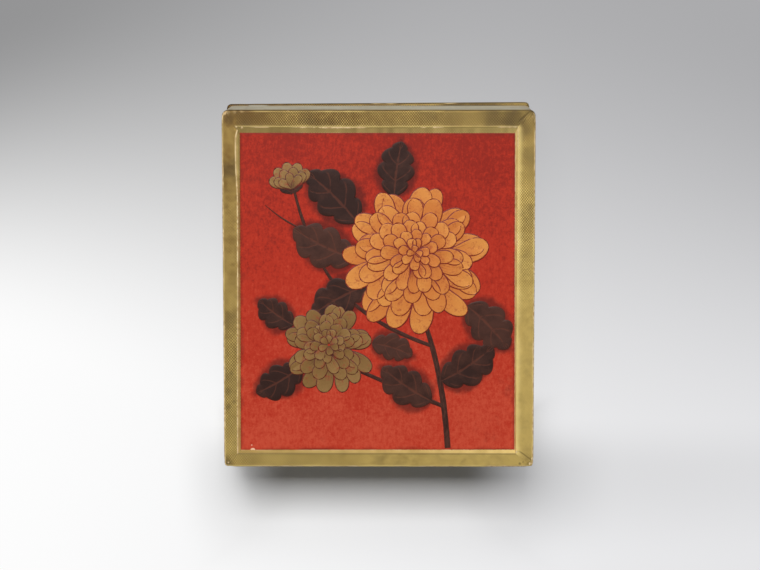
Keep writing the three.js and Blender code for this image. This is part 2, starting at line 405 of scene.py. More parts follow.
def gold_paper(name, pressed, sheet):
    """Pressed paper has its lattice in the mesh. Sheet says that the piece has a flat UV map.

    A value that a piece hasn't been given reads as 0."""
    look = Look(name, Specular_IOR_Level=0.3)
    u, v = look.parts(look.flat() if sheet else look.here())[:2]
    boss = (u * (2 * math.pi / MESH_ACROSS)).cos() * (v * (2 * math.pi / MESH_DOWN)).cos() * 0.5 + 0.5
    hollow = (1 - boss).between(0.25, 0.6)
    fine = look.noise(420, 3, 0.6)
    gold = look.mix(gold_tone(look, fine).between(-0.25, 1.35), GOLD_BROWN, GOLD_LIGHT)
    tarnish = look.noise(260, 4, 0.7).between(0.56, 0.74) * 0.4
    dirt_and_shade = tarnish.larger(look.noise(110, 5, 0.65).between(0.48, 0.78) * 0.45)
    worn = look.noise(700, 3).between(0.72, 0.8) * 0.3
    painted_highlight = 0.0
    if sheet:
        painted_highlight = look.value("painted_highlight")
        rubbed = look.value("rubbed")
        hollow = hollow * (1 - rubbed) + rubbed * 0.42
        dirt_and_shade = look.value("dirt_and_shade").larger(dirt_and_shade)
        frayed = look.value("wear") + look.noise(2600, 4, 0.7) * 0.5 - 0.25
        worn = frayed.between(0.42, 0.58).larger(worn)
    # Stains and dirt darken the gold, and so does painted shade along the front ridge
    gold = look.mix(dirt_and_shade * 0.7, gold, GOLD_STAIN_AND_SHADE)
    gold = look.mix(hollow, gold, GOLD_HOLLOW)
    if sheet:
        # Painted highlights on the folds and slopes
        gold = look.mix(painted_highlight * 0.8, gold, GOLD_HIGHLIGHT)
    cream = look.mix(look.noise(900, 3).between(0.35, 0.7), CREAM, CREAM_DARK)
    fibres = look.noise(5200, 3, 0.6)
    height = fibres * 0.25 if pressed else fibres * 0.15 + boss
    return look.close(
        Base_Color=look.mix(worn, gold, cream),
        Metallic=(1 - worn) * (1 - dirt_and_shade * 0.6) * (0.45 - painted_highlight * 0.3),
        Roughness=0.44 + worn * 0.35 + dirt_and_shade * 0.2 + fine * 0.08,
        Normal=look.bump(height, 0.35, 0.05 * MM),
    )


embossed_gold = gold_paper("embossed_gold_paper", pressed=True, sheet=True)
edge_gold = gold_paper("edge_gold_paper", pressed=False, sheet=True)
recess_gold = gold_paper("recess_gold_paper", pressed=False, sheet=False)
print("lozenges of the gold", round(MESH_ACROSS / MM, 2), "x", round(MESH_DOWN / MM, 2), "mm")

# %% [markdown]
# ## Folding a gold strip over the frame
# A real strip is a straight ribbon of paper. It is pasted up the side wall, over the frame's flat top,
# over the inner edge and down the slope to the recess. So its section is drawn once as a line with two
# small arcs, and each point of the flat ribbon is sent to the place on that line that its own width
# coordinate reaches. The ribbon is then cut at its two mitres with bisect, as a knife would cut it.

# %% A section's line
ARC_POINTS = 9


def arc(centre, radius, start, end):
    """Points on an arc, each with the direction that faces out of the paper."""
    turns = np.radians(np.linspace(start, end, ARC_POINTS))
    out = np.stack([np.cos(turns), np.sin(turns)], 1)
    return np.asarray(centre) + radius * out, out


def point(depth, z, facing):
    return np.array([[depth, z]]), np.array([facing], float)


def section_line(*parts):
    """Joins points and arcs into one line. Returns its distances, places and outward directions."""
    places = np.concatenate([places for places, out in parts])
    outward = np.concatenate([out for places, out in parts])
    steps = np.hypot(*np.diff(places, axis=0).T)
    return np.concatenate([[0], np.cumsum(steps)]), places, outward


def along_section(v, section):
    """Depth, height and facing on a section's line at the distance v."""
    line, places, outward = section
    columns = (places[:, 0], places[:, 1], outward[:, 0], outward[:, 1])
    return [np.interp(v, line, column) for column in columns]


# %% The frame's section
ARRIS = 0.6 * MM
RIDGE_ROUND = 0.35 * MM
PAPER = 0.3 * MM


def frame_section(width, wall_low, floor, run):
    """From the wrap's lower edge, up, over the frame of that width, and down into the recess."""
    slope = math.degrees(math.atan2(TOP - floor, run))
    back = RIDGE_ROUND * math.tan(math.radians(slope / 2))
    ridge = arc((width - back, TOP - RIDGE_ROUND), RIDGE_ROUND, 90, 90 - slope)
    return section_line(
        point(0, wall_low, (-1, 0)),
        arc((ARRIS, TOP - ARRIS), ARRIS, 180, 90),
        ridge,
        point(width + run, floor, ridge[1][-1]),
    )


# %% [markdown]
# The four sides share one rule. Each has a direction along it, chosen so that along, up and outward make
# a right-handed set, and an inward direction. The corners are rounded by drawing in the square rings of
# points there to circles, which is what a fingertip does to a paper corner over the years.

# %% Corners and mitres
GRID = 0.2 * MM
half_x = (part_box("frame_gold_right")[1].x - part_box("frame_gold_left")[0].x) / 2
half_y = (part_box("frame_gold_back")[1].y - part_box("frame_gold_front")[0].y) / 2
BACK_ROUND, FRONT_ROUND = 2.5 * MM, 1.4 * MM
SIDES = {
    "front": (Vector((1, 0, 0)), Vector((0, 1, 0))),
    "right": (Vector((0, 1, 0)), Vector((-1, 0, 0))),
    "back": (Vector((-1, 0, 0)), Vector((0, -1, 0))),
    "left": (Vector((0, -1, 0)), Vector((1, 0, 0))),
}
ORDER = list(SIDES)
print("lid", round(2 * half_x / MM, 1), "x", round(2 * half_y / MM, 1), "mm")


def draw_in_corners(places, reach_x, reach_y, back, front):
    """Turns the square corners of an outline into round ones, at every depth inside it."""
    places = np.array(places, float)
    x, y = places[:, 0], places[:, 1]
    radius = np.where(y > 0, back, front)
    over_x = np.abs(x) - (reach_x - radius)
    over_y = np.abs(y) - (reach_y - radius)
    at_corner = (over_x > 0) & (over_y > 0)
    square = np.maximum(over_x, over_y)
    round_ = np.hypot(over_x, over_y)
    share = np.where(at_corner, square / np.maximum(round_, 1e-9), 1.0)
    places[:, 0] = np.where(at_corner, np.sign(x) * (reach_x - radius + over_x * share), x)
    places[:, 1] = np.where(at_corner, np.sign(y) * (reach_y - radius + over_y * share), y)
    return places


def cut(piece, place, normal):
    """Slices a piece with a plane and throws away the side that the normal points to."""
    only(piece)
    bpy.ops.object.mode_set(mode="EDIT")
    bpy.ops.mesh.select_all(action="SELECT")
    bpy.ops.mesh.bisect(plane_co=place, plane_no=normal, clear_outer=True, threshold=1e-6)
    bpy.ops.object.mode_set(mode="OBJECT")


def mitre(piece, side, widths, reach_x, reach_y):
    """Cuts both ends of a side's strip along the line from its outer corner to its inner one."""
    along, inward = SIDES[side]
    k = ORDER.index(side)
    for step, neighbour in ((1, ORDER[(k + 1) % 4]), (-1, ORDER[(k - 1) % 4])):
        other_inward = SIDES[neighbour][1]
        corner = -(inward + other_inward)
        corner = Vector((corner.x * reach_x, corner.y * reach_y, 0))
        line = inward * widths[side] + other_inward * widths[neighbour]
        normal = Vector((line.y, -line.x, 0))
        if normal.dot(along) * step < 0:
            normal.negate()
        cut(piece, corner, normal)


# %% [markdown]
# Wear follows the folds. It is strongest on the outer edge, on the ridge above the picture and at the
# corners, and it comes and goes along the strip. The points keep its strength, and that of the dirt that
# gathers beside the seams and in the corners, together with painted shade along the front ridge. They also
# keep painted highlights on the folds and slopes, and how far the lattice is pressed flat. The gold
# material reads all four.

# %% Wear and stains of the frame
# How worn the ridge is at each side's low end and high end. Below 0 it is whole but for a few spots.
RIDGE_WEAR = {"front": (-0.4, -0.4), "right": (0.3, 0.3), "back": (0.4, 0.4), "left": (1.4, 1.1)}
RIDGE_CORNER_WEAR = {"front": 0.0, "right": 0.4, "back": 0.5, "left": 0.0}  # added beside the high end
# How strong the painted highlight on the ridge is, and the half width of that band in millimetres
RIDGE_HIGHLIGHT = {"front": 0.0, "right": 0.65, "back": 0.4, "left": 0.3}
RIDGE_BAND = {"front": 0.3, "right": 1.1, "back": 0.5, "left": 0.3}
# How strong the painted highlight on each slope is, at the ridge and at the foot, each at the side's low end
# and high end
SLOPE_HIGHLIGHT = {
    "front": ((0.2, 0.2), (0.9, 0.9)),
    "right": ((0.9, 0.9), (1.0, 0.9)),
    "back": ((0.5, 0.5), (0.7, 0.7)),
    "left": ((1.0, 0.4), (1.0, 0.3)),
}
# How worn the slope's foot is at each end, and the half width of that band in millimetres
FOOT_WEAR = {"front": (0.65, 0.65), "right": (1.3, 0.9), "back": (0.3, 0.3), "left": (0.2, 0.0)}
FOOT_BAND = {"front": 0.32, "right": 0.7, "back": 0.3, "left": 0.3}
# How worn the outer edge is, and how strong the painted highlight beside the wear is at each end
EDGE_WEAR = {"front": 0.75, "right": 0.9, "back": 0.1, "left": 1.15}
EDGE_HIGHLIGHT = {"front": (0.9, 0.7), "right": (1.2, 0.3), "back": (0.05, 0.1), "left": (0.5, 0.3)}
# How worn to cream and how dirty each corner is, by (right or left, back or front)
CORNER_WEAR = {(1, 1): 0.35, (-1, 1): 0.6, (1, -1): 0.35, (-1, -1): 0.35}
CORNER_DIRT = {(1, 1): 0.7, (-1, 1): 0.5, (1, -1): 0.75, (-1, -1): 0.9}
# Where fingers have left dark patches: x, y and radius in millimetres, and darkness from 0 to 1
STAINS = [
    (51, 66.5, 8, 0.85), (44, 67, 6, 0.6), (56, 62, 5, 0.6), (-58, 67, 4, 0.5), (-58, 47, 7, 0.7),
    (-28, 67, 5, 0.35), (1, -67, 4, 0.5), (24, -67, 3, 0.3), (-50, -66, 4, 0.4), (59, 30, 6, 0.4),
    (-58, -12, 5, 0.4), (57.5, 14, 4, 0.3), (-58.5, -40, 3, 0.5), (-59, -46, 2, 0.6), (59, 52, 6, 0.5),
    (-59, -68.1, 1.7, 1.0), (55.3, -68.6, 0.8, 0.9), (56.6, -67.9, 0.6, 0.9), (-57.5, -33, 1.5, 0.5),
    (-56.5, -44, 1.2, 0.5),
]
# Where the gold is gone, in the same way. Below about 0.5 only frayed patches of it are.
WORN_SPOTS = [
    (-58.4, 69.2, 2.4, 0.46), (-55.5, 69.3, 2.2, 0.46), (-53.0, 69.6, 1.8, 0.46), (59.4, 67.4, 1.0, 0.7),
    (60.1, 65.6, 1.0, 0.7), (-59, -68.1, 0.55, 1.0), (60.2, -66.4, 0.9, 0.9), (59.2, -68.6, 0.9, 0.8),
    (-52.8, 63.2, 0.7, 0.8), (-16, 63.2, 0.6, 0.9), (-35, 69.7, 0.6, 0.8), (53.9, -63.7, 1.0, 0.9),
    (-54.9, 63.4, 0.6, 0.8),
]


print(len(STAINS), "stains and", len(WORN_SPOTS), "worn spots")


def spots_at(x, y, spots):
    """Ragged round spots, each given as x, y and radius in millimetres and a strength."""
    found = np.zeros(np.shape(x))
    for centre_x, centre_y, radius, strength in spots:
        away = np.hypot(x / MM - centre_x, y / MM - centre_y)
        away = away + 0.5 * radius * unevenness(x, y, 2.5 * MM, 91, 4)
        found = np.maximum(found, strength * fade(away, radius, 0.15 * radius))
    return found


def wandering_band(v, at, width, waver):
    """A worn band along a fold: 1 in its middle, less beside it."""
    return np.exp(-(((v - at - waver) / np.maximum(width, 0.08 * MM)) ** 2))


def by_corner(x, y, amounts):
    """The amount that belongs to the corner nearest to each place."""
    found = np.zeros(np.shape(x))
    for (right, back), amount in amounts.items():
        found[(x * right > 0) & (y * back > 0)] = amount
    return found


# %% Widths of the frame
GAP = 0.1 * MM  # paste between two layers
BEVEL = 1.2 * MM  # run of the card's sloping inner edge
panel_low, panel_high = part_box("picture_panel")
PICTURE = panel_high.z
SLOPE_FOOT = PICTURE - 0.14 * MM
# How far inwards each ridge was laid from the edge of the card below it
RIDGE_LAID = {"left": -0.05 * MM, "right": 0.25 * MM, "front": -0.3 * MM, "back": -0.08 * MM}


def from_outside(low, high):
    """How far the sides of a piece's box stand in from the sides of the lid."""
    return {
        "left": half_x + low.x,
        "right": half_x - high.x,
        "front": half_y + low.y,
        "back": half_y - high.y,
    }


recess_in = from_outside(*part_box("recess_gold_paper"))
card_in = from_outside(panel_low, panel_high)
# From the box's outside to the ridge, and from the ridge down to the card's edge
FRAME_WIDTHS = {side: recess_in[side] - GAP - BEVEL + RIDGE_LAID[side] for side in SIDES}
SLOPES = {side: card_in[side] - FRAME_WIDTHS[side] for side in SIDES}
# The lacquered paper stands out past its card, by this much at each edge's low end and high end
PICTURE_OVER = {
    "left": (0.65 * MM, 0.1 * MM),
    "right": (0.75 * MM, 0.25 * MM),
    "front": (0.55 * MM, 0.4 * MM),
    "back": (0.5 * MM, 0.3 * MM),
}
# How open each mitre is, by the side of the box that it is on: (right or left, back or front)
SEAMS = {(1, 1): 1.0, (-1, 1): 0.15, (1, -1): 0.8, (-1, -1): 0.15}
# The lap that covers a mitre moves the seam that shows: over the back strip or over the right strip
SEAM_SHIFTS = {(1, 1): 1.2 * MM, (1, -1): -1.6 * MM}
print("slopes in mm", {side: round(run / MM, 2) for side, run in SLOPES.items()})


def picture_over(side, x, y):
    """How far the picture stands out past its card at the edge on that side, beside each place."""
    if side in ("left", "right"):
        share = (y - panel_low.y) / (panel_high.y - panel_low.y)
    else:
        share = (x - panel_low.x) / (panel_high.x - panel_low.x)
    return end_to_end(PICTURE_OVER[side], np.clip(share, 0, 1))


# %% How one strip has worn
SLOPE_SHARE = 0.3
# Where a ridge bows inwards: where along the side it starts, is full and ends, and how far, in millimetres
RIDGE_BOWS = {
    "left": [(52, 34, -75, 0.66), (59, 64.5, 110, 1.1)],
    "right": [(20, -20, -60, 0.15)],
    "front": [(50, 10, -30, 0.15)],
    "back": [(38, -8, -54, 0.15)],
}


def rubbed_flat(x, y):
    """How far the lattice is rubbed away: least at the back, most at the front right."""
    front_right = 0.95 * fade(x - y, -10 * MM, 75 * MM)
    left = 0.8 * fade(x, -54.5 * MM, -55.5 * MM) * fade(y, -30 * MM, 5 * MM)
    off_back = 0.15 + 0.35 * fade(y, half_y - 5.5 * MM, half_y - 7.5 * MM)
    return np.maximum.reduce([front_right, left, off_back])


def strip_highlight(side, v, share, folds, wander, patch):
    """The painted highlights on a strip's folds and its slope, which stand for the light that they catch."""
    edge_at, ridge_at, foot_at = folds
    at_ridge, at_foot = (end_to_end(pair, share) for pair in zip(*SLOPE_HIGHLIGHT[side]))
    down = np.clip((v - ridge_at) / (foot_at - ridge_at), 0, 1)
    slope = fade(v, ridge_at, ridge_at + 0.4 * MM) * (0.85 + 0.4 * patch)
    slope = slope * (at_ridge + (at_foot - at_ridge) * down)
    band = RIDGE_BAND[side] * (1 + 0.4 * patch) * MM
    ridge = wandering_band(v, ridge_at - 0.3 * band, band, 0) * RIDGE_HIGHLIGHT[side] * (0.9 + 0.3 * wander)
    edge_highlight = np.clip(end_to_end(EDGE_HIGHLIGHT[side], share) + 0.4 * wander, 0, 1)
    edge = wandering_band(v, edge_at + 0.15 * MM, (0.34 + 0.12 * patch) * MM, 0.1 * MM * wander) * edge_highlight
    return np.clip(np.maximum.reduce([ridge, slope, edge]), 0, 1)


def strip_wear(side, v, share, folds, wander, patch):
    """How worn a strip's outer edge is, and how worn its ridge and its foot are."""
    edge_at, ridge_at, foot_at = folds
    to_high_end = (1 - share) * 2 * (half_y if side in ("left", "right") else half_x)
    ridge_wear = end_to_end(RIDGE_WEAR[side], share)
    ridge_wear = ridge_wear + RIDGE_CORNER_WEAR[side] * fade(to_high_end, 17 * MM, 13 * MM)
    foot_wear = end_to_end(FOOT_WEAR[side], share)
    edge = wandering_band(v, edge_at, (0.36 + 0.2 * patch - 0.2 * wander) * MM, 0.12 * MM * patch)
    ridge = wandering_band(v, ridge_at, (0.3 + 0.14 * wander + 0.14 * patch) * MM, 0.1 * MM * wander)
    foot = wandering_band(v, foot_at, FOOT_BAND[side] * (1 + 0.4 * patch) * MM, 0)
    edge = edge * np.clip(EDGE_WEAR[side] - 0.5 * wander + 0.35 * patch, 0, 1)
    ridge = ridge * np.clip(ridge_wear + 0.5 * wander + 0.35 * patch, 0, 1)
    foot = foot * np.clip(foot_wear + 0.3 * (wander + patch), 0, 1)
    return edge, np.maximum(ridge, foot)


# %% [markdown]
# A straight cut can pass through only one inner corner, so each slope is first drawn as the same share
# of its side's width. When the mitres are cut, all slopes are stretched to the picture's edge together.

# %% Gold strips of the frame
EMBOSS = 0.07 * MM  # height of the lattice's bosses
WAVE = 0.05 * MM  # how uneven the paper lies
WANDER_SIZE, PATCH_SIZE = 9 * MM, 2.4 * MM  # of the changes in wear along a fold
CORNER_SUNK = 0.22 * MM
EDGE_SUNK = 0.06 * MM
LOWER_EDGE_WAVER = 0.18 * MM


def gold_strip(side, seed):
    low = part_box(f"frame_gold_{side}")[0].z
    along, inward = SIDES[side]
    crosswise = along.x == 0
    reach, length = (half_x, half_y) if crosswise else (half_y, half_x)
    width = FRAME_WIDTHS[side]
    section = frame_section(width, low, SLOPE_FOOT, SLOPE_SHARE * width)
    line, profile = section[:2]
    across = np.linspace(-length, length, round(2 * length / GRID) + 1)
    piece, u, v = flat_sheet(f"gold_strip_{side}", across, stations([0, line[-1]], GRID))
    d, z, out_d, out_z = along_section(v, section)
    start = np.array(-inward * reach)
    x, y = (start + np.outer(u, along) + np.outer(d, inward)).T[:2]
    beside = y if crosswise else x
    share = (beside + length) / (2 * length)

    wander = unevenness(u, 0 * u, WANDER_SIZE, seed, 4)
    patch = unevenness(u, 0 * u, PATCH_SIZE, seed + 1, 4)
    edge_at = TOP - ARRIS - low + ARRIS * math.pi / 4
    folds = edge_at, np.interp(width, profile[:, 0], line), line[-1]
    edge, creases = strip_wear(side, v, share, folds, wander, patch)
    from_corner = np.hypot(half_x - np.abs(x), half_y - np.abs(y)) / MM
    ragged = 1.6 * unevenness(x, y, 2 * MM, seed + 4, 4)
    corner = fade(from_corner + ragged, 4.6, 1.2) * fade(z, TOP - 3 * MM, TOP - 0.6 * MM)
    spots = spots_at(x, y, WORN_SPOTS) * fade(z, TOP - 2.2 * MM, TOP - 0.9 * MM)
    wear = np.maximum.reduce([creases, edge, corner * by_corner(x, y, CORNER_WEAR), spots])

    bow = 0
    for begin, full, end, inwards in RIDGE_BOWS[side]:
        bow = bow + inwards * MM * fade(beside / MM, begin, full) * fade(beside / MM, end, full)
    d = d + bow * fade(d, 0.3 * width, width) * fade(d, (1 + SLOPE_SHARE) * width, width)

    rubbed = rubbed_flat(x, y)
    mesh_x, mesh_y = (v, u) if crosswise else (u, v)
    boss = np.cos(2 * np.pi * mesh_x / MESH_ACROSS) * np.cos(2 * np.pi * mesh_y / MESH_DOWN)
    boss = boss * EMBOSS * (1 - 0.8 * wear) * (1 - 0.8 * rubbed)
    wave = WAVE * unevenness(u, v, 14 * MM, seed + 2, 2) * fade(v, 0, 2 * MM)
    lift = boss + wave - CORNER_SUNK * corner - EDGE_SUNK * edge
    z = z + LOWER_EDGE_WAVER * wander * fade(v, 2 * MM, 0)
    d, z = d + out_d * lift, z + out_z * lift
    move_points(piece, start + np.outer(u, along) + np.outer(d, inward) + np.outer(z, (0, 0, 1)))
    give_uv(piece, mesh_x, mesh_y)
    give_value(piece, "wear", wear)
    give_value(piece, "rubbed", rubbed)
    give_value(piece, "painted_highlight", strip_highlight(side, v, share, folds, wander, patch))
    mitre(piece, side, FRAME_WIDTHS, half_x, half_y)
    return piece


# %% [markdown]
# At each corner two strips meet in a mitre. There the paper sinks a little into the gap between the
# cards below, and dirt gathers in it. A seam could be modelled as a gap, but a shallow groove in each
# strip is what shows: its depth and its dirt both come from a point's distance to the mitre line.

# %% Slopes, seams and corners


def reach_picture(places):
    """Stretches each slope from its share of the frame's width to the picture's edge."""
    names = (("left", "right"), ("front", "back"))
    for axis, reach in ((0, half_x), (1, half_y)):
        for sign, side in zip((-1, 1), names[axis]):
            width = FRAME_WIDTHS[side]
            foot = width * (1 + SLOPE_SHARE)
            from_edge = reach - sign * places[:, axis]
            share = np.clip((from_edge - width) / (foot - width), 0, 1)
            share = share * fade(from_edge, foot + 15 * MM, foot)
            run = SLOPES[side] - picture_over(side, places[:, 0], places[:, 1])
            places[:, axis] -= sign * (run - foot + width) * share
    return places


def close_seams(piece):
    """Sinks the paper along its mitres and darkens it there, then rounds the box's corners."""
    places = points_of(piece)
    x, y = places[:, 0], places[:, 1]
    from_corner = np.hypot(half_x - np.abs(x), half_y - np.abs(y)) / MM
    grimy = fade(from_corner + 2 * unevenness(x, y, 2.5 * MM, 95, 4), 5.5, 1) * by_corner(x, y, CORNER_DIRT)
    between_ridges = (x > FRAME_WIDTHS["left"] - half_x) & (x < half_x - FRAME_WIDTHS["right"])
    # Painted shade along the front ridge
    front_ridge_shade = between_ridges * fade(np.abs(half_y + y - FRAME_WIDTHS["front"]), 0.6 * MM, 0.1 * MM)
    dirt_and_shade = np.maximum.reduce([spots_at(x, y, STAINS), grimy, 0.75 * front_ridge_shade])
    sunk = np.zeros(len(places))
    for (right, back), open_ in SEAMS.items():
        across = FRAME_WIDTHS["right" if right > 0 else "left"]
        down = FRAME_WIDTHS["back" if back > 0 else "front"]
        from_x, from_y = half_x - right * x, half_y - back * y
        off_line = (from_x * down - from_y * across) / math.hypot(across, down)
        off_line = np.abs(off_line - SEAM_SHIFTS.get((right, back), 0))
        near = (from_x < across + 1.2 * MM) & (from_y < down + 1.2 * MM)
        sunk = np.maximum(sunk, near * open_ * fade(off_line, 0.3 * MM, 0.04 * MM))
        dirt_and_shade = np.maximum(dirt_and_shade, near * open_ * fade(off_line, 0.55 * MM, 0.1 * MM))
    places[:, 2] -= 0.16 * MM * sunk * (places[:, 2] > PICTURE)
    places = reach_picture(places)
    move_points(piece, draw_in_corners(places, half_x, half_y, BACK_ROUND, FRONT_ROUND))
    give_value(piece, "dirt_and_shade", np.clip(dirt_and_shade, 0, 1))


for seed, side in enumerate(ORDER):
    strip = gold_strip(side, 10 + 7 * seed)
    close_seams(strip)
    give_thickness(strip, PAPER)
    smooth(strip, 60)
    finish_piece(strip, embossed_gold, "lid", "gold_paper", f"frame_gold_{side}")
print("frame widths in mm", {side: round(width / MM, 2) for side, width in FRAME_WIDTHS.items()})

# %% [markdown]
# ## The red panel
# The picture is a separate card, covered with red lacquer and laid on gold paper in the recess. Its
# edges are soft and not quite straight. Lacquer on paper keeps the grain of the paper as fine upright
# streaks, and age has left smudges, pale specks and one chip through to the cream card.

# %% Red lacquer
RED_DEEP = srgb(143, 36, 25)
RED_MID = srgb(178, 48, 30)
RED_LIGHT = srgb(198, 76, 53)
SMUDGE = srgb(104, 34, 26)
SMOKE = srgb(68, 28, 24)
PALE_SPECK = srgb(224, 140, 114)
CHIP_CREAM = srgb(238, 200, 170)
RED_PAINTED_LIGHT_TO_FRONT = 2.8  # painted light: how much lighter the red is made per metre towards the front
# Chips at the panel's edge: place and half size, in millimetres
CHIPS = [(-49.4, -63.2, 0.95, 0.6), (-49.8, -61.4, 0.22, 0.2)]


def red_lacquer():
    look = Look("red_lacquer", Specular_IOR_Level=0.1)
    x, y = look.parts(look.here())[:2]
    cloud = look.noise(60, 5, 0.65)
    streak = look.noise(1100, 3, 0.6, look.stretched(1.0, 0.34, 1.0))
    mottle = look.noise(520, 4, 0.7)
    grain = look.noise(1900, 3, 0.65)
    # Painted light makes the red lighter towards the front
    tone = cloud * 0.35 + streak * 0.35 + mottle * 0.45 + grain * 0.35 - 0.22 - y * RED_PAINTED_LIGHT_TO_FRONT
    red = look.mix(tone.between(0.3, 0.54), RED_DEEP, RED_MID)
    red = look.mix(tone.between(0.5, 0.82), red, RED_LIGHT)
    smudge = look.noise(70, 5, 0.75).between(0.58, 0.8)
    red = look.mix(smudge * 0.4, red, SMUDGE)
    red = look.mix(look.value("smoke") * 0.85, red, SMOKE)
    red = look.mix(look.value("dirt_and_shade") * 0.5, red, SMUDGE)
    uneven = look.noise(2400, 2, 0.6) * 0.16
    scattered = look.specks(260, 0.1, uneven=uneven) * look.noise(60, 2).between(0.48, 0.62)
    dots = scattered.larger(look.specks(640, 0.12, uneven=uneven) * look.noise(130, 2).between(0.55, 0.7))
    red = look.mix(dots * 0.55, red, PALE_SPECK)
    ragged = look.noise(1800, 3, 0.7) * 0.9 - 0.45
    chipped = 0.0
    for place_x, place_y, half_width, half_height in CHIPS:
        side = (x / MM - place_x) / half_width
        rise = (y / MM - place_y) / half_height
        away = side * side + rise * rise + ragged
        chipped = away.between(1.1, 0.85).larger(chipped)
    return look.close(
        Base_Color=look.mix(chipped, red, CHIP_CREAM),
        Roughness=0.36 + grain * 0.14 + smudge * 0.12 + chipped * 0.3,
        Normal=look.bump(streak * 0.6 + grain * 0.8 - chipped * 3.0, 0.6, 0.03 * MM),
    )


# %% [markdown]
# ## The painted spray, planned
# The picture on the lid is a generic spray of garden chrysanthemums: one large orange flower, a smaller
# olive gold one, a bud, and lobed dark leaves. It is built in very low relief, as raised lacquer is, and
# stays below the frame's top. A leaf is a strip whose half width follows a lobed curve. The same curve
# tells the panel where to carry the smoky shading round each leaf, so leaves are planned first.

# %% Leaves as numbers
# Place of the base in millimetres, heading in degrees clockwise from the top, length, half width, bend
LEAVES = [
    (-9, 12, -72, 27, 8.6, 0.3),
    (-8, 26, -38, 28, 9.0, -0.25),
    (-4, 2, -110, 25, 7.6, -0.3),
    (6, 36, 2, 22, 7.4, 0.2),
    (34, -6, 128, 24, 8.2, 0.3),
    (24, -36, 66, 25, 8.0, -0.35),
    (21, -44, -64, 24, 7.6, 0.3),
    (-30, -30, -128, 21, 7.0, 0.25),
    (-33, -14, -62, 17, 6.0, 0.3),
    (-3, -21, 96, 17, 5.6, 0.4),
]
LEAF_LOBES = 3.5
print(len(LEAVES), "leaves, the longest", max(leaf[3] for leaf in LEAVES), "mm")


def lobed(t):
    """A leaf's half width as a share of its greatest, along its length from 0 to 1."""
    body = np.sin(np.pi * np.clip(t, 0, 1) ** 0.8) ** 0.7
    lobe = np.abs(np.sin(np.pi * LEAF_LOBES * np.clip(t, 0, 1) ** 0.9 + 0.25)) ** 0.55
    return body * (0.66 + 0.34 * lobe)


def spine(t, length, bend):
    """Places and heading on a curving line that leaves the origin along +Y and is that long."""
    steps = np.linspace(0, 1, 65)
    sway = np.cumsum(np.sin(np.outer(bend, steps)), 1) / len(steps)
    reach = np.cumsum(np.cos(np.outer(bend, steps)), 1) / len(steps)
    row = np.arange(len(t))
    place = np.clip(t, 0, 1) * (len(steps) - 1)
    low = np.minimum(place.astype(int), len(steps) - 2)
    part = place - low
    x = sway[row, low] * (1 - part) + sway[row, low + 1] * part
    y = reach[row, low] * (1 - part) + reach[row, low + 1] * part
    return x * length, y * length, bend * t


def smoke_at(x, y):
    """How much smoky shading the leaves leave on the panel, from 0 to 1."""
    found = np.zeros(np.shape(x))
    ragged = unevenness(x, y, 2.2 * MM, 51, 3)
    for base_x, base_y, heading, length, half_width, bend in LEAVES:
        turn = math.radians(heading)
        from_x, from_y = x / MM - base_x, y / MM - base_y
        ahead = from_x * math.sin(turn) + from_y * math.cos(turn)
        aside = from_x * math.cos(turn) - from_y * math.sin(turn)
        t = ahead / length
        aside = aside - length * bend * np.clip(t, 0, 1) ** 2 / 2
        off_side = np.abs(aside) - half_width * np.sin(np.pi * np.clip(t, 0, 1) ** 0.8) ** 0.7
        off_end = np.maximum(-ahead, ahead - length)
        away = np.maximum(off_side, off_end) + 0.9 * ragged
        found = np.maximum(found, 0.8 * fade(away, 2.4, -0.4))
    return found


# %% [markdown]
# The panel itself is a flat sheet whose outer rows of points are lowered along a quarter circle, which
# gives it a soft edge without a bevel. The lacquered paper is a little larger than its card, so the
# outermost 3 mm are drawn out to the foot of the frame's slopes.

# %% The lacquered panel
PANEL_GRID = 0.62 * MM
PANEL_THICK = 0.4 * MM
SOFT_STEPS = np.array([0, 0.04, 0.1, 0.18, 0.28]) * MM  # rows of points across the rounded edge
SOFT_EDGE = SOFT_STEPS[-1]
EDGE_DROP = 0.14 * MM
WARP = 0.05 * MM
OVER_RUN = 3 * MM  # how far in from the edge the paper is drawn out past its card
EDGE_WAVER = 0.08 * MM


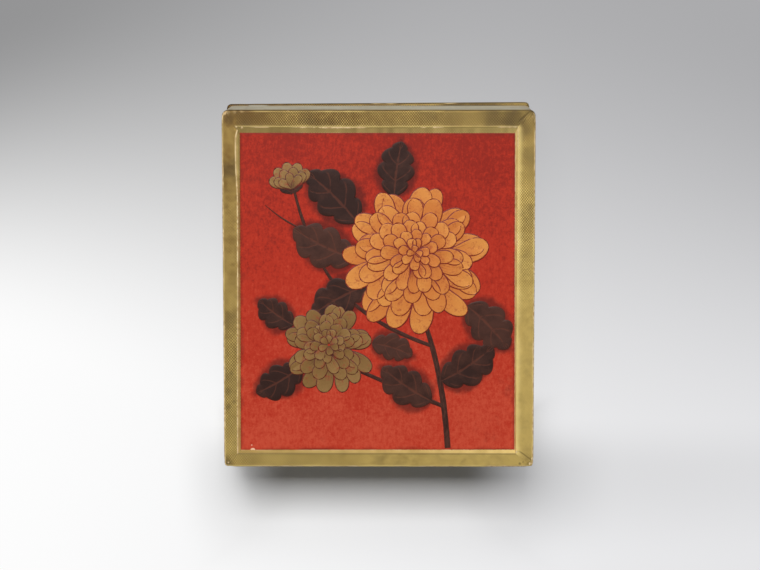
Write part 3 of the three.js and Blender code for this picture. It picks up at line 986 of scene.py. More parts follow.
def lacquered_panel():
    sides = []
    for low, high in ((panel_low.x, panel_high.x), (panel_low.y, panel_high.y)):
        sides.append(stations([*(low + SOFT_STEPS), *(high - SOFT_STEPS)], PANEL_GRID))
    piece, x, y = flat_sheet("lacquered_panel", *sides)
    to_side = np.minimum(x - panel_low.x, panel_high.x - x)
    to_end = np.minimum(y - panel_low.y, panel_high.y - y)
    inside = np.clip(np.minimum(to_side, to_end) / SOFT_EDGE, 0, 1)
    drop = EDGE_DROP * (1 - np.sqrt(1 - (1 - inside) ** 2))
    z = PICTURE - drop + WARP * unevenness(x, y, 30 * MM, 61, 3)
    give_uv(piece, x, y)
    give_value(piece, "smoke", smoke_at(x, y))
    rim = np.minimum(to_side, to_end) / MM
    grimy = fade(rim + 0.8 * unevenness(x, y, 4 * MM, 62, 3), 1.1, 0)
    smeared = fade(y - panel_low.y, 1.1 * MM, 0.2 * MM) * fade(np.abs(x / MM + 25), 9, 4)
    give_value(piece, "dirt_and_shade", np.maximum(grimy, 1.5 * smeared))
    right = fade(panel_high.x - x, OVER_RUN, 0) * picture_over("right", x, y)
    left = fade(x - panel_low.x, OVER_RUN, 0) * picture_over("left", x, y)
    back = fade(panel_high.y - y, OVER_RUN, 0) * picture_over("back", x, y)
    front = fade(y - panel_low.y, OVER_RUN, 0) * picture_over("front", x, y)
    waver_x = EDGE_WAVER * unevenness(y, 0 * y, 18 * MM, 63, 3) * fade(to_side, 2 * MM, 0)
    waver_y = EDGE_WAVER * unevenness(x, 0 * x, 18 * MM, 64, 3) * fade(to_end, 2 * MM, 0)
    move_points(piece, np.stack([x + right - left + waver_x, y + back - front + waver_y, z], 1))
    give_thickness(piece, PANEL_THICK)
    smooth(piece)
    finish_piece(piece, red_lacquer(), "lid", "red_lacquer", "picture_panel")


lacquered_panel()

# %% [markdown]
# ## Painted leaves, petals and stems
# What repeats is modelled once. A unit grid is one petal or one leaf, and an Array modifier lays out as
# many copies as the flower has. Every copy then gets its own length, width, bend and place from the
# same formula, in one go. Petals overlap like those of a pinwheel: each is a little higher on one side.

# %% Copies of one unit sheet
COPY_STEP = 4.0


def copies(name, across, up, count):
    """One unit sheet, copied. Returns the piece, and each point's copy, side (-1 to 1) and reach (0 to 1)."""
    piece, side, reach = flat_sheet(name, across, up)
    move_points(piece, np.stack([side, reach, 0 * side], 1))
    settings = {"use_relative_offset": False, "use_constant_offset": True}
    settings["constant_offset_displace"] = (COPY_STEP, 0, 0)
    apply_modifier(piece, "ARRAY", count=count, **settings)
    places = points_of(piece)
    which = np.rint(places[:, 0] / COPY_STEP).astype(int)
    return piece, which, places[:, 0] - which * COPY_STEP, places[:, 1]


def close_points(piece):
    """Joins the points that a petal's tip or a leaf's ends draw together."""
    only(piece)
    bpy.ops.object.mode_set(mode="EDIT")
    bpy.ops.mesh.select_all(action="SELECT")
    bpy.ops.mesh.remove_doubles(threshold=2e-6)
    bpy.ops.mesh.dissolve_degenerate(threshold=1e-6)
    bpy.ops.object.mode_set(mode="OBJECT")


def painted(piece, material, centre, heading, points, thickness, **values):
    """Turns points clockwise to their heading round a centre, in millimetres, and finishes the piece.

    The values that its material reads are kept on its points: side, reach, rim and shade."""
    x, y, z = points
    x, y = turned(x, y, -heading)
    move_points(piece, np.stack([(centre[0] + x) * MM, (centre[1] + y) * MM, z], 1))
    for name, value in values.items():
        give_value(piece, name, value)
    close_points(piece)
    give_thickness(piece, thickness)
    smooth(piece, 50)
    finish_piece(piece, material, "lid", "red_lacquer")


# %% [markdown]
# Painted lines follow the shapes: a dark line just inside each petal's outline and fine strokes from its
# base, and pale veins on the leaves. The outline is found from "rim", the distance to the edge, so it
# keeps its width on every petal.

# %% Paint of the petals and leaves
# Deep, middle and light paint, and the ink of the outlines
ORANGE_SHADES = (srgb(158, 74, 28), srgb(200, 116, 48), srgb(216, 142, 66), srgb(118, 32, 20))
OLIVE_SHADES = (srgb(100, 68, 34), srgb(128, 94, 48), srgb(146, 112, 64), srgb(84, 32, 22))
LEAF_DEEP = srgb(50, 30, 25)
LEAF_BROWN = srgb(76, 46, 37)
LEAF_VEIN = srgb(112, 60, 44)
LEAF_RIM = srgb(88, 36, 28)


def petal_paint(name, shades, line_width):
    deep, mid, light, ink = shades
    look = Look(name, Specular_IOR_Level=0.25)
    side, reach = look.value("side"), look.value("reach")
    rim, shade = look.value("rim"), look.value("shade")
    wobble = look.noise(700, 2) * 0.16 - 0.08
    worn = look.noise(240, 4, 0.65)
    grain = look.noise(1300, 3, 0.6)
    tone = reach * 0.5 + shade * 0.3 + worn * 0.5 + grain * 0.25 - 0.25
    paint = look.mix(tone.between(0.15, 0.5), deep, mid)
    paint = look.mix(tone.between(0.45, 0.95), paint, light)
    outline = (rim + wobble).between(line_width, line_width * 0.6)
    lines = (side * 4.2 + wobble * 2.0).maths("PINGPONG", 0.7).between(0.12, 0.04)
    lines = lines * reach.between(0.72, 0.35) * side.size().between(0.85, 0.7)
    inked = outline.larger(lines * 0.75) * look.noise(420, 3).between(0.18, 0.4)
    paint = look.mix(inked, paint, ink)
    rubbed = look.noise(480, 5, 0.75).between(0.5, 0.7) * 0.6
    paint = look.mix(rubbed, paint, RED_DEEP)
    return look.close(
        Base_Color=paint,
        Metallic=(1 - inked) * 0.12,
        Roughness=0.42 + grain * 0.15,
        Normal=look.bump(grain * 0.6 - inked * 0.8, 0.4, 0.03 * MM),
    )


def leaf_paint():
    look = Look("dark_leaf_lacquer", Specular_IOR_Level=0.12)
    side, reach = look.value("side"), look.value("reach")
    rim, shade = look.value("rim"), look.value("shade")
    cloud = look.noise(160, 4, 0.65)
    grain = look.noise(1400, 3, 0.6)
    brown = look.mix((cloud + shade * 0.4 - 0.2).between(0.25, 0.75), LEAF_DEEP, LEAF_BROWN)
    wobble = look.noise(500, 2) * 0.1 - 0.05
    midrib = (side + wobble).size().between(0.09, 0.03)
    veins = (reach * LEAF_LOBES - side.size() * 0.75 + wobble).maths("PINGPONG", 0.5).between(0.07, 0.02)
    veins = veins * side.size().between(0.95, 0.7) * reach.between(0.05, 0.12)
    drawn = midrib.larger(veins * 0.8) * look.noise(500, 3).between(0.25, 0.5)
    brown = look.mix(drawn * 0.4, brown, LEAF_VEIN)
    brown = look.mix((rim + wobble * 3.0).between(0.5, 0.1) * 0.6, brown, LEAF_RIM)
    return look.close(
        Base_Color=brown,
        Roughness=0.4 + grain * 0.16,
        Normal=look.bump(grain * 0.5 - drawn, 0.45, 0.03 * MM),
    )


dark_leaf = leaf_paint()
orange_petals = petal_paint("orange_petal_paint", ORANGE_SHADES, 0.55)
olive_petals = petal_paint("olive_petal_paint", OLIVE_SHADES, 0.42)
print("paints:", ", ".join(paint.name for paint in (dark_leaf, orange_petals, olive_petals)))

# %% [markdown]
# Each leaf lies along a bending spine. Its halves fall towards the midrib, its edge is turned down to
# the panel, and a small random swell keeps ten copies of one leaf from looking stamped.

# %% Leaves
LEAF_RAISE = 0.14 * MM
LEAF_THICK = 0.16 * MM


def leaves():
    across = stations([-1, -0.9, -0.06, 0.06, 0.9, 1], 0.22)
    piece, which, side, reach = copies("leaves", across, np.linspace(0, 1, 53), len(LEAVES))
    base_x, base_y, heading, length, half_width, bend = np.array(LEAVES, float)[which].T
    forward = 0.09 * side**2 * np.sin(np.pi * reach)
    x, y, leaning = spine(reach, length, bend)
    width = half_width * lobed(reach) * side
    x, y = x + width * np.cos(leaning), y - width * np.sin(leaning) + forward * length
    rim = (1 - np.abs(side)) * half_width * lobed(reach)
    fold = 0.04 * MM * np.abs(side) - 0.03 * MM * fade(np.abs(side), 0.12, 0)
    swell = 0.04 * MM * unevenness(x * MM, y * MM + which * 0.1, 5 * MM, 71, 2)
    z = PICTURE + LEAF_RAISE + fold + swell - 0.1 * MM * fade(rim, 0.5, 0) + 0.006 * MM * which
    shade = np.random.default_rng(72).uniform(0, 1, len(LEAVES))[which]
    values = {"side": side, "reach": reach, "rim": rim, "shade": shade}
    painted(piece, dark_leaf, (base_x, base_y), np.radians(heading), (x, y, z), LEAF_THICK, **values)


leaves()

# %% [markdown]
# A petal widens along its spine and closes in a round tip. Its edge is turned down to the petal below.
# Rings of petals make a flower, and a fan of them that opens from one point makes the bud.

# %% One petal
ACROSS_PETAL = np.array([-1, -0.94, -0.8, -0.5, -0.15, 0.15, 0.5, 0.8, 0.94, 1])
ALONG_PETAL = stations([0, 0.3, 0.66, 0.85, 0.95, 0.99, 1], 0.09)
PETAL_BASE = 0.34  # width of a petal's base, as a share of its greatest width
WIDEST = 0.66  # how far along a petal is at its widest
TIP_DOWN = 0.07 * MM


def petals(name, length, half_width, bend):
    """Petals that leave the origin along +Y.

    Returns the piece, each point's petal, the values that its paint reads, and its x and y."""
    piece, which, side, reach = copies(name, ACROSS_PETAL, ALONG_PETAL, len(length))
    x, y, leaning = spine(reach, length[which], bend[which])
    grown = PETAL_BASE + (1 - PETAL_BASE) * np.sin(np.pi / 2 * np.clip(reach / WIDEST, 0, 1))
    taper = np.sqrt(1 - np.clip((reach - WIDEST) / (1 - WIDEST), 0, 1) ** 2)
    width = half_width[which] * grown * taper
    rim = np.minimum((1 - np.abs(side)) * width, (1 - reach) * length[which])
    values = {"side": side, "reach": reach, "rim": rim}
    return piece, which, values, x + side * width * np.cos(leaning), y - side * width * np.sin(leaning)


def count_off(groups):
    """For groups that start with their number: each member's group, place in it, and the group's row."""
    group = np.repeat(np.arange(len(groups)), [row[0] for row in groups])
    return group, np.arange(len(group)) - np.searchsorted(group, group), np.array(groups, float)[group]


# %% Flowers
FLOWER_RAISE = 0.22 * MM
RING_RAISE = 0.1 * MM
PETAL_THICK = 0.16 * MM


def flower(name, centre, rings, look_down, material, seed):
    """Rings of (petals, start, length, half width) in millimetres, from the outermost to the heart.

    Look_down makes the lower petals longer, as in a flower that faces a little upwards."""
    rng = np.random.default_rng(seed)
    ring, order, numbers = count_off(rings)
    count = len(ring)
    heading = 2 * np.pi * (order + 0.5 * (ring % 2) + rng.uniform(-0.16, 0.16, count)) / numbers[:, 0]
    longer = 1 - look_down * np.cos(heading)
    start = numbers[:, 1] * longer
    length = numbers[:, 2] * longer * rng.uniform(0.9, 1.08, count)
    half_width = numbers[:, 3] * rng.uniform(0.92, 1.1, count)
    bend = rng.choice([-1, 1], count, p=[0.35, 0.65]) * rng.uniform(0.15, 0.75, count)
    shade = rng.uniform(0, 1, count)
    piece, which, values, x, y = petals(name, length, half_width, bend)
    side = values["side"]
    cup = 0.07 * MM * side**2 + 0.06 * MM * values["reach"]
    pinwheel = 0.05 * MM * side * np.where(bend[which] > 0, 1, -1)
    z = PICTURE + FLOWER_RAISE + RING_RAISE * ring[which] + 0.004 * MM * (order[which] % 7)
    z = z + cup + pinwheel - TIP_DOWN * fade(values["rim"], 0.35, 0)
    points = (x, y + start[which], z)
    painted(piece, material, centre, heading[which], points, PETAL_THICK, shade=shade[which], **values)


ORANGE_RINGS = [
    (19, 10.5, 18.5, 4.3),
    (18, 8.6, 15.2, 3.9),
    (16, 6.6, 12.4, 3.4),
    (13, 4.6, 9.8, 3.0),
    (10, 2.6, 7.6, 2.5),
    (7, 0.9, 5.4, 2.0),
    (4, 0.0, 3.4, 1.5),
]
OLIVE_RINGS = [
    (16, 6.6, 11.2, 3.1),
    (14, 4.8, 9.0, 2.8),
    (12, 3.2, 7.0, 2.4),
    (9, 1.7, 5.2, 2.0),
    (6, 0.4, 3.8, 1.5),
]
flower("orange_chrysanthemum", (14, 14.5), ORANGE_RINGS, 0.1, orange_petals, 81)
flower("olive_chrysanthemum", (-19.5, -21.5), OLIVE_RINGS, 0.12, olive_petals, 82)

# %% [markdown]
# Each stem and the twig is a single stroke of a loaded brush: it follows a curve that three points pull
# on, and swells in the middle. Its section is a low arch.

# %% Brush strokes
ACROSS_STROKE = np.array([-1, -0.8, -0.4, 0, 0.4, 0.8, 1])
STROKE_THICK = 0.12 * MM
STEM_RAISE = 0.13 * MM
# Start, handle and end of each curve, then its half widths at the start, the middle and the end, in mm
STEMS = [
    (27, -62.5, 25, -30, 16, -8, 1.1, 0.9, 0.7),
    (25.4, -46, 6, -38, -12, -30, 0.8, 0.7, 0.6),
    (20.5, -22, -14, -10, -24, 14, 0.8, 0.6, 0.5),
    (-24, 14, -30, 26, -33, 40, 0.5, 0.5, 0.5),
    (24.5, -36, 28, -36, 33, -33, 0.5, 0.4, 0.4),
    (-28, 23, -36, 26, -44, 33, 0.35, 0.3, 0.12),
]


def strokes(name, rows, material, raise_, seed):
    """Every stroke of the rows, as one piece that stands as high as raise_ above the panel."""
    piece, which, side, t = copies(name, ACROSS_STROKE, np.linspace(0, 1, 41), len(rows))
    x0, y0, x1, y1, x2, y2, wide0, wide1, wide2 = np.array(rows, float)[which].T
    x = (1 - t) ** 2 * x0 + 2 * t * (1 - t) * x1 + t**2 * x2
    y = (1 - t) ** 2 * y0 + 2 * t * (1 - t) * y1 + t**2 * y2
    run_x = 2 * (1 - t) * (x1 - x0) + 2 * t * (x2 - x1)
    run_y = 2 * (1 - t) * (y1 - y0) + 2 * t * (y2 - y1)
    run = np.hypot(run_x, run_y)
    width = wide0 * (1 - t) ** 2 + 2 * wide1 * t * (1 - t) * 1.5 + wide2 * t**2
    width = width * (1 + 0.12 * unevenness(x * MM, y * MM, 3 * MM, seed, 2))
    x, y = x + side * width * run_y / run, y - side * width * run_x / run
    z = PICTURE + raise_ * (0.5 + 0.5 * np.sqrt(1 - 0.98 * side**2))
    shade = np.random.default_rng(seed).uniform(0, 1, len(which))
    values = {"side": side, "reach": t, "rim": (1 - np.abs(side)) * width, "shade": shade}
    painted(piece, material, (0, 0), 0, (x, y, z), STROKE_THICK, **values)


strokes("stems", STEMS, dark_leaf, STEM_RAISE, 83)

# %% [markdown]
# The bud is half open, so its petals stand in three fans, each shorter and higher than the one behind.
# A fan of three dark petals at its foot is the calyx.

# %% The bud
BUD_PETALS = [(5, 0.5, 10.5, 2.5), (4, 0.5, 8.4, 2.2), (3, 0.4, 6.4, 1.8)]
CALYX_PETALS = [(3, 0.3, 6.0, 1.7)]
BUD_RAISE = 0.19 * MM
FAN_RAISE = 0.08 * MM
BUD_PETAL_THICK = 0.14 * MM


def bud(name, centre, fans, spread, lean, material, seed):
    """Fans of petals that open upwards from one point, by spread degrees to each side of lean."""
    fan, order, numbers = count_off(fans)
    share = (order + 0.5) / numbers[:, 0] * 2 - 1
    heading = np.radians(lean + spread * share)
    length = numbers[:, 2] * (1 - 0.12 * share**2)
    piece, which, values, x, y = petals(name, length, numbers[:, 3], 0.5 * share)
    z = PICTURE + BUD_RAISE + FAN_RAISE * fan[which] + 0.012 * MM * order[which]
    z = z + 0.06 * MM * values["side"] ** 2 - TIP_DOWN * fade(values["rim"], 0.35, 0)
    shade = np.random.default_rng(seed).uniform(0, 1, len(fan))[which]
    painted(piece, material, centre, heading[which], (x, y, z), BUD_PETAL_THICK, shade=shade, **values)


bud("olive_bud", (-33.4, 39.5), BUD_PETALS, 58, -14, olive_petals, 84)
bud("calyx", (-33.2, 37.6), CALYX_PETALS, 62, -14, dark_leaf, 85)

# %% [markdown]
# ## Papers round the walls
# The lid's side and the tray's side are each one long strip of pale paper. It runs right round, overlaps
# itself by a few millimetres, and is turned over the wall's edge. The strip is a flat sheet again. Its
# length is laid along a rounded rectangle, and its width along a section line, as on the frame.

# %% Laying a strip along a rounded rectangle
CORNERS = ((1, -1), (1, 1), (-1, 1), (-1, -1))
SHARPEST = 0.25 * MM  # radius of a corner's innermost fold


def outline_marks(reach, radii):
    """Distances at which arcs and straights begin, counter-clockwise from the front right corner."""
    marks = [0.0]
    for k, (right, back) in enumerate(CORNERS):
        after = (k + 1) % 4
        side = reach[1] if right == CORNERS[after][0] else reach[0]
        marks.append(marks[-1] + radii[k] * math.pi / 2)
        marks.append(marks[-1] + 2 * side - radii[k] - radii[after])
    return np.array(marks)


def on_outline(u, depth, reach, radii):
    """Places on the rounded rectangle at the distance u along it and the depth inside it."""
    marks = outline_marks(reach, radii)
    u = u % marks[-1]
    part = np.clip(np.searchsorted(marks, u, side="right") - 1, 0, 7)
    share = (u - marks[part]) / (marks[part + 1] - marks[part])
    k, curved = part // 2, part % 2 == 0
    signs, round_ = np.array(CORNERS), np.array(radii)

    def corner_point(k, turn):
        radius = np.maximum(round_[k] - depth, SHARPEST)
        x = signs[k, 0] * (reach[0] - depth - radius) + radius * np.cos(turn)
        y = signs[k, 1] * (reach[1] - depth - radius) + radius * np.sin(turn)
        return x, y

    turn = np.radians(90.0 * (k - 1 + np.where(curved, share, 1)))
    x, y = corner_point(k, turn)
    next_x, next_y = corner_point((k + 1) % 4, np.radians(90.0 * k))
    on = np.where(curved, 0, share)
    return x + on * (next_x - x), y + on * (next_y - y)


# %% Wrapping
LAP = 6 * MM
LAP_RAISE = 0.3 * MM
WRAP_GRID = 1.1 * MM
WRAP_THICK = 0.25 * MM


def wrapped(name, reach, radii, section, start, seed, wave, turn=0.0):
    """One strip of paper right round a wall, from the distance start, lapping over its own start."""
    marks = outline_marks(reach, radii)
    round_ = marks[-1]
    bends = [np.linspace(marks[k], marks[k + 1], 7) for k in (0, 2, 4, 6)]
    bends = np.concatenate(bends + [marks])
    bends = np.concatenate([bends, bends + round_])
    end = start + round_ + LAP
    across = stations([start, *bends[(bends > start) & (bends < end)], end - LAP, end], WRAP_GRID)
    piece, u, v = flat_sheet(name, across, stations(section[0], WRAP_GRID))
    d, z, out_d, out_z = along_section(v, section)
    over = fade(u, end - LAP - 2.5 * MM, end - LAP) * LAP_RAISE
    edge = 0.15 * MM * unevenness(v, 0 * v, 6 * MM, seed + 3, 2) * fade(u, end - 2 * MM, end)
    lift = over + wave * unevenness(u, v, 11 * MM, seed, 3)
    x, y = on_outline(u + edge, d + out_d * lift, reach, radii)
    move_points(piece, np.stack([*turned(x, y, turn), z + out_z * lift], 1))
    give_uv(piece, u, v)
    middles = (marks[:-1:2] + marks[1::2]) / 2
    to_bend = np.abs((u[:, None] - middles + round_ / 2) % round_ - round_ / 2).min(1)
    patch = unevenness(u, v, 5 * MM, seed + 1, 4)
    give_value(piece, "wear", fade(to_bend / MM + 1.5 * patch, 1.6, 0.2) * (0.6 + 0.4 * patch))
    seam = fade(np.abs(u - end), 1.2 * MM, 0)
    handled = fade(to_bend / MM, 9, 0) * 0.5 + 0.25 * patch
    give_value(piece, "dirt_and_shade", np.clip(np.maximum(handled, 0.6 * seam), 0, 1))
    give_thickness(piece, WRAP_THICK)
    smooth(piece, 50)
    return piece


# %% [markdown]
# The pale paper is handmade: long bast fibres cross it, a few dark flecks lie among them, and it has
# yellowed unevenly. The lining is the same kind of paper in cream, cleaner because it was shut away.

# %% Handmade papers
# Each paper's deep, middle and light shade, then its fibres, its flecks and its stains
PALE = [(178, 167, 138), (208, 199, 173), (225, 219, 199), (233, 227, 209), (124, 102, 72), (150, 124, 86)]
LINING = [(196, 178, 142), (216, 202, 170), (232, 221, 194), (238, 228, 204), (150, 122, 84), (176, 144, 96)]
BROWN = [(84, 66, 42), (108, 88, 58), (130, 109, 76), (150, 130, 96), (54, 40, 26), (66, 50, 32)]


def handmade_paper(name, shades, sheet):
    """Paper in six shades. Sheet says that the piece has a flat UV map, and keeps its wear and dirt."""
    deep, mid, light, fibre, fleck, soil = [srgb(*shade) for shade in shades]
    look = Look(name)
    place = look.node("CombineXYZ", {}, *look.parts(look.flat())) if sheet else look.here()
    cloud = look.noise(55, 5, 0.6, place)
    grain = look.noise(1400, 4, 0.7, place)
    paper = look.mix((cloud * 0.7 + grain * 0.4 - 0.05).between(0.25, 0.7), deep, mid)
    paper = look.mix(grain.between(0.5, 0.85), paper, light)
    long_ = look.fibres(210, 0.02, place).larger(look.fibres(430, 0.02, place) * 0.7)
    paper = look.mix(long_ * 0.5, paper, fibre)
    flecks = look.specks(330, 0.16, place) * look.noise(90, 2, 0.5, place).between(0.5, 0.62)
    paper = look.mix(flecks * 0.65, paper, fleck)
    foxed = look.noise(120, 5, 0.7, place).between(0.62, 0.8) * 0.6
    wear = 0.0
    if sheet:
        foxed = foxed.larger(look.value("dirt_and_shade") * (0.5 + cloud * 0.9))
        wear = (look.value("wear") + grain * 0.6 - 0.3).between(0.45, 0.65)
    paper = look.mix(foxed * 0.55, paper, soil)
    if sheet:
        paper = look.mix(wear * 0.8, paper, CREAM)
    return look.close(
        Base_Color=paper,
        Roughness=0.78 + grain * 0.15 - long_ * 0.12,
        Normal=look.bump(grain * 0.7 + long_ * 0.6 + look.noise(300, 3, 0.5, place), 0.5, 0.06 * MM),
    )


side_paper = handmade_paper("pale_side_paper", PALE, sheet=True)
cream_lining = handmade_paper("cream_lining_paper", LINING, sheet=True)
flat_lining = handmade_paper("flat_lining_paper", LINING, sheet=False)
brown_base = handmade_paper("brown_base_paper", BROWN, sheet=False)
print("papers:", ", ".join(paper.name for paper in (side_paper, cream_lining, flat_lining, brown_base)))

# %% [markdown]
# The lid's paper starts inside, comes down round the lower edge of the wall, goes up the outside, and
# runs a little way up behind the gold, as a real one is pasted first. Its two ends meet at the back left.

# %% The lid's side paper
side_low, side_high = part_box("lid_side_paper")
wrap_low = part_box("frame_gold_back")[0].z
SIDE_REACH = (side_high.x, side_high.y)
LID_RADII = [FRONT_ROUND, BACK_ROUND, BACK_ROUND, FRONT_ROUND]
TURN_IN = 6 * MM
FOLD = 0.45 * MM
TUCK = 0.7 * MM  # how far the paper runs up behind the gold
SIDE_WAVE = 0.05 * MM
LAP_FROM_CORNER = 12 * MM
inner_depth = side_high.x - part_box("lid_wall_right")[0].x + GAP + PAPER
side_section = section_line(
    point(inner_depth, side_low.z + TURN_IN, (1, 0)),
    arc((inner_depth - FOLD, side_low.z + FOLD), FOLD, 0, -90),
    arc((FOLD, side_low.z + FOLD), FOLD, 270, 180),
    point(0, wrap_low - TUCK, (-1, 0)),
    point(PAPER, wrap_low - GAP, (-1, 0)),
    point(PAPER, wrap_low + TUCK, (-1, 0)),
)
lap_start = outline_marks(SIDE_REACH, LID_RADII)[4] - LAP_FROM_CORNER
lid_side = wrapped("lid_side_wrap", SIDE_REACH, LID_RADII, side_section, lap_start, 31, SIDE_WAVE)
finish_piece(lid_side, side_paper, "lid", "pale_paper", "lid_side_paper")

# %% [markdown]
# The tray's paper goes up the outside, over the rim and a little down inside. The rim is rounded there,
# because the lid rubs over it each time that the box is closed.

# %% The tray's side paper
# The tray and the base were pasted up together and sit turned a little under the lid. Half sizes here
# are from before that turn.
BASE_TURN = math.radians(0.38)
TRAY_REACH = (56.6 * MM, 65.85 * MM)
TRAY_RADII = [0.6 * MM] * 4
RIM_DEPTH = 2.8 * MM
RIM_ROUND = 0.8 * MM
tray_low, tray_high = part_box("tray_side_paper")
tray_section = section_line(
    point(0, tray_low.z, (-1, 0)),
    arc((RIM_ROUND, tray_high.z - RIM_ROUND), RIM_ROUND, 180, 90),
    arc((RIM_DEPTH - RIM_ROUND, tray_high.z - RIM_ROUND), RIM_ROUND, 90, 0),
    point(RIM_DEPTH, tray_high.z - TURN_IN, (1, 0)),
)
tray_start = -14 * MM
tray_side = wrapped(
    "tray_side_wrap", TRAY_REACH, TRAY_RADII, tray_section, tray_start, 41, SIDE_WAVE, BASE_TURN
)
finish_piece(tray_side, side_paper, "tray", "pale_paper", "tray_side_paper")

# %% [markdown]
# ## Gold edges of the base
# The base board stands out under the lid at the front and the back. Four gold papers are folded round
# its edges, from a little way underneath to the foot of the tray, and mitred. They are darker than the
# frame, most of all towards the right.

# %% Gold edges of the base
BASE_REACH = (60.4 * MM, 70.7 * MM)
BASE_TOP = 3.4 * MM
BASE_ROUNDS = (1.6 * MM, 0.8 * MM)  # of the corners at the back and at the front
EDGE_FOLD = 0.7 * MM
EDGE_DENT = 0.5 * MM
EDGE_WIDTHS = {
    side: BASE_REACH[axis] - TRAY_REACH[axis] - 2 * GAP
    for side, axis in (("left", 0), ("right", 0), ("front", 1), ("back", 1))
}


def base_edge(side, seed):
    along, inward = SIDES[side]
    reach, length = (BASE_REACH[1], BASE_REACH[0]) if along.y == 0 else BASE_REACH
    width = EDGE_WIDTHS[side]
    section = section_line(
        point(width, 0, (0, -1)),
        arc((EDGE_FOLD, EDGE_FOLD), EDGE_FOLD, 270, 180),
        arc((EDGE_FOLD, BASE_TOP - EDGE_FOLD), EDGE_FOLD, 180, 90),
        point(width, BASE_TOP, (0, 1)),
    )
    across = stations([-length, length], 0.8 * MM)
    piece, u, v = flat_sheet(f"base_edge_strip_{side}", across, stations(section[0], 0.4 * MM))
    d, z, out_d, out_z = along_section(v, section)
    wander = unevenness(u, 0 * u, 10 * MM, seed, 4)
    patch = unevenness(u, v, 4 * MM, seed + 1, 4)
    dent = np.clip(wander - 0.35, 0, 1) * EDGE_DENT * fade(z, 1.5 * MM, BASE_TOP)
    lift = WAVE * patch - dent
    d, z = d + out_d * lift, z + np.maximum(out_z, 0) * lift
    upper = fade(np.abs(z - (BASE_TOP - 0.3 * MM)), 0.8 * MM, 0) * fade(d, 1.3 * MM, 0)
    lower = fade(np.abs(z - 0.3 * MM), 0.7 * MM, 0) * fade(d, 1.3 * MM, 0)
    wear = upper * np.clip(0.25 + 0.8 * wander, 0, 1) + lower * np.clip(0.5 + 0.6 * patch, 0, 1)
    start = np.array(-inward * reach)
    places = start + np.outer(u, along) + np.outer(d, inward) + np.outer(z, (0, 0, 1))
    move_points(piece, places)
    give_uv(piece, u, v)
    give_value(piece, "wear", wear)
    # The base's gold is made darker than the frame's, most of all towards the right
    right = fade(places[:, 0], 0, 45 * MM)
    give_value(piece, "dirt_and_shade", np.clip(0.02 + 0.5 * wander + 0.35 * patch + 0.5 * right, 0, 1))
    mitre(piece, side, EDGE_WIDTHS, *BASE_REACH)
    x, y, z = draw_in_corners(points_of(piece), *BASE_REACH, *BASE_ROUNDS).T
    move_points(piece, np.stack([*turned(x, y, BASE_TURN), z], 1))
    give_thickness(piece, PAPER)
    smooth(piece, 60)
    finish_piece(piece, edge_gold, "tray", "gold_paper", f"base_edge_{side}")


for seed, side in enumerate(ORDER):
    base_edge(side, 120 + 7 * seed)

# %% [markdown]
# ## Linings
# The lid and the tray are lined with cream paper. The wall linings are strips that face inwards, so
# their section runs from the top down. The flat linings and the hidden boards keep their CAD shapes.

# %% Wall linings
LINING_RADII = [0.3 * MM] * 4
LINING_WAVE = 0.04 * MM
LID_INSIDE = (57.3 * MM, 66.55 * MM)
TRAY_INSIDE = (53.5 * MM, 62.75 * MM)


def wall_lining(node, reach, start, seed, body, turn=0.0):
    low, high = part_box(node)
    section = section_line(point(0, high.z, (1, 0)), point(0, low.z, (1, 0)))
    piece = wrapped(f"{node}_strip", reach, LINING_RADII, section, start, seed, LINING_WAVE, turn)
    finish_piece(piece, cream_lining, body, "lining_paper", node)


wall_lining("lid_wall_lining", LID_INSIDE, 160 * MM, 141, "lid")
wall_lining("tray_wall_lining", TRAY_INSIDE, -20 * MM, 145, "tray", BASE_TURN)

# %% [markdown]
# The boards are raw pasteboard: brown, fibrous, with layers that show at a cut edge. A noise that is
# squeezed along Z draws those layers. The boards are flat and hidden, so their CAD shapes are enough.

# %% Pasteboard
BOARD_DARK = srgb(118, 98, 70)
BOARD_LIGHT = srgb(168, 146, 112)
BOARD_FLECK = srgb(72, 56, 40)


def raw_pasteboard():
    look = Look("raw_pasteboard")
    cloud = look.noise(90, 4, 0.6)
    grain = look.noise(1100, 4, 0.7)
    layers = look.noise(500, 3, 0.6, look.stretched(0.2, 0.2, 3.0))
    tone = cloud * 0.4 + grain * 0.4 + layers * 0.3
    board = look.mix(tone.between(0.35, 0.75), BOARD_DARK, BOARD_LIGHT)
    flecks = look.specks(600, 0.2) * look.noise(200, 2).between(0.5, 0.62)
    board = look.mix(flecks * 0.7, board, BOARD_FLECK)
    return look.close(
        Base_Color=board,
        Roughness=0.85 + grain * 0.1,
        Normal=look.bump(grain + layers * 0.6, 0.6, 0.08 * MM),
    )


pasteboard = raw_pasteboard()
print("board:", pasteboard.name)

# %% Pieces that keep their CAD shapes
KEPT = {
    "recess_gold_paper": recess_gold,
    "lid_ceiling_lining": flat_lining,
    "tray_floor_lining": flat_lining,
    "base_bottom_paper": brown_base,
}
dressed = 0
for name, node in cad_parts.items():
    is_board = "board" in name or "core" in name or "_wall_" in name and "lining" not in name
    finish = KEPT.get(name) or (pasteboard if is_board else None)
    if finish:
        node.data.materials.clear()
        node.data.materials.append(finish)
        dressed += 1
print("CAD pieces dressed", dressed)

# %% [markdown]
# ## Floor, lamp and world
# One sheet of seamless paper carries the photograph's greys. Only rays from the camera, glass and metal
# see it glow in them, so that it puts no colour on the box. Beside the box it glows, and in front of the
# box it is plain paper that the box's own shadow falls on. Distances here are in metres. One large lamp
# stands high behind the box, at the left, as a window would, and a weak white world fills the shadows.

# %% Seamless paper
FLOOR_HALF = 1.6
GLOW_SHARE = 0.93  # how much of the paper's look is glow, where it glows
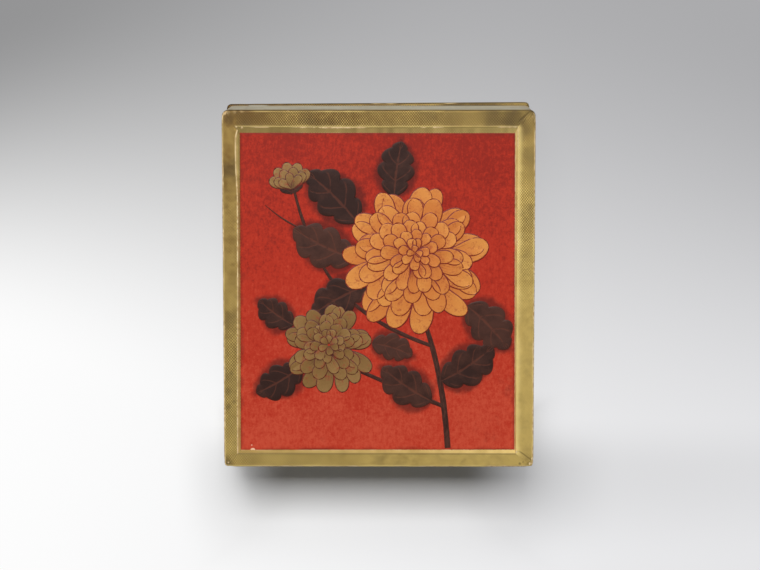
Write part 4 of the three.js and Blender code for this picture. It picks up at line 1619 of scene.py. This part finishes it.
# The paper's greys, at the left and at the right of the picture
FRONT_GREYS = (srgb(254, 254, 254), srgb(230, 230, 232))
BACK_GREYS = (srgb(148, 148, 149), srgb(171, 171, 173))
FALL_REACH = 0.2  # how far to each side the fall into grey still changes
SHADE = (0, 0, 0, 1)


def paper_greys(look, x, y):
    """Painted shade: the paper falls into grey towards the back, later at the left and soonest in the middle.
    """
    starts = x.between(-0.19, 0.03) * -0.062 - 0.024
    held = (x + FALL_REACH).larger(0) - FALL_REACH
    held = FALL_REACH - (FALL_REACH - held).larger(0)
    ends = 0.138 - held * held * 1.42
    front = look.mix(x.between(-0.19, 0.19), *FRONT_GREYS)
    back = look.mix(x.between(-0.15, 0.06), *BACK_GREYS)
    return look.mix(y.between(starts, ends), front, back)


def soft_shadow(x, y):
    """A second, very soft shadow lies beside the front corners, and reaches further to the right."""
    rows = y.between(-0.056, -0.079) * y.between(-0.118, -0.081)
    right = x.between(0.1, 0.064) * 0.17 + x.between(0.17, 0.09) * 0.035 + 0.08
    left = x.between(-0.085, -0.064) * x.between(-0.03, -0.055) * 0.14
    return rows * (x.between(0.03, 0.064) * right + left)


def glow_share(x, y):
    """Most of the box's own shadow is left out of the picture, but not in front of the box."""
    beside = (x + 0.002).size().between(0.035, 0.08).larger(y.between(-0.0705, -0.045))
    return (beside * GLOW_SHARE).larger(y.between(-0.09, -0.13))


def floor_look():
    look = Look("seamless_paper", Roughness=0.9, Specular_IOR_Level=0.0)
    x, y = look.parts(look.here())[:2]
    colour = look.mix(soft_shadow(x, y), paper_greys(look, x, y), SHADE)
    seen = look.node("LightPath", {}, out="Is Camera Ray")
    for kind in ("Is Glossy Ray", "Is Transmission Ray"):
        seen = seen.larger(look.node("LightPath", {}, out=kind))
    glow = look.node("Emission", {}, colour)
    paper = Wire(look, look.shader.outputs["BSDF"])
    surface = look.node("MixShader", {}, seen * glow_share(x, y), paper, glow)
    look.put(look.tree.nodes["Material Output"].inputs["Surface"], surface)
    return look.close(Base_Color=colour)


start_clean()
bpy.ops.mesh.primitive_plane_add(size=2 * FLOOR_HALF)
floor = bpy.context.object
floor.name = "floor"
floor.data.materials.append(floor_look())
print("floor", 2 * FLOOR_HALF, "m square")

# %% Lamp and world
KEY_PLACE = Vector((-0.12, 0.49, 1.1))
KEY_AIM = Vector((0, 0, 0.03))
KEY_SIZE = (0.5, 0.46)
KEY_POWER = 14.8  # watts
WORLD_STRENGTH = 0.08

start_clean()
bpy.ops.object.light_add(type="AREA")
key = bpy.context.object
key.name = key.data.name = "key"
key.data.shape = "RECTANGLE"
key.data.size, key.data.size_y = KEY_SIZE
key.data.energy = KEY_POWER
look_at(key, KEY_PLACE, KEY_AIM)
world = bpy.data.worlds.new("studio")
bpy.context.scene.world = world
world.use_nodes = True
background = world.node_tree.nodes["Background"]
background.inputs["Color"].default_value = (1, 1, 1, 1)
background.inputs["Strength"].default_value = WORLD_STRENGTH
print("key lamp", KEY_POWER, "W, world", WORLD_STRENGTH)
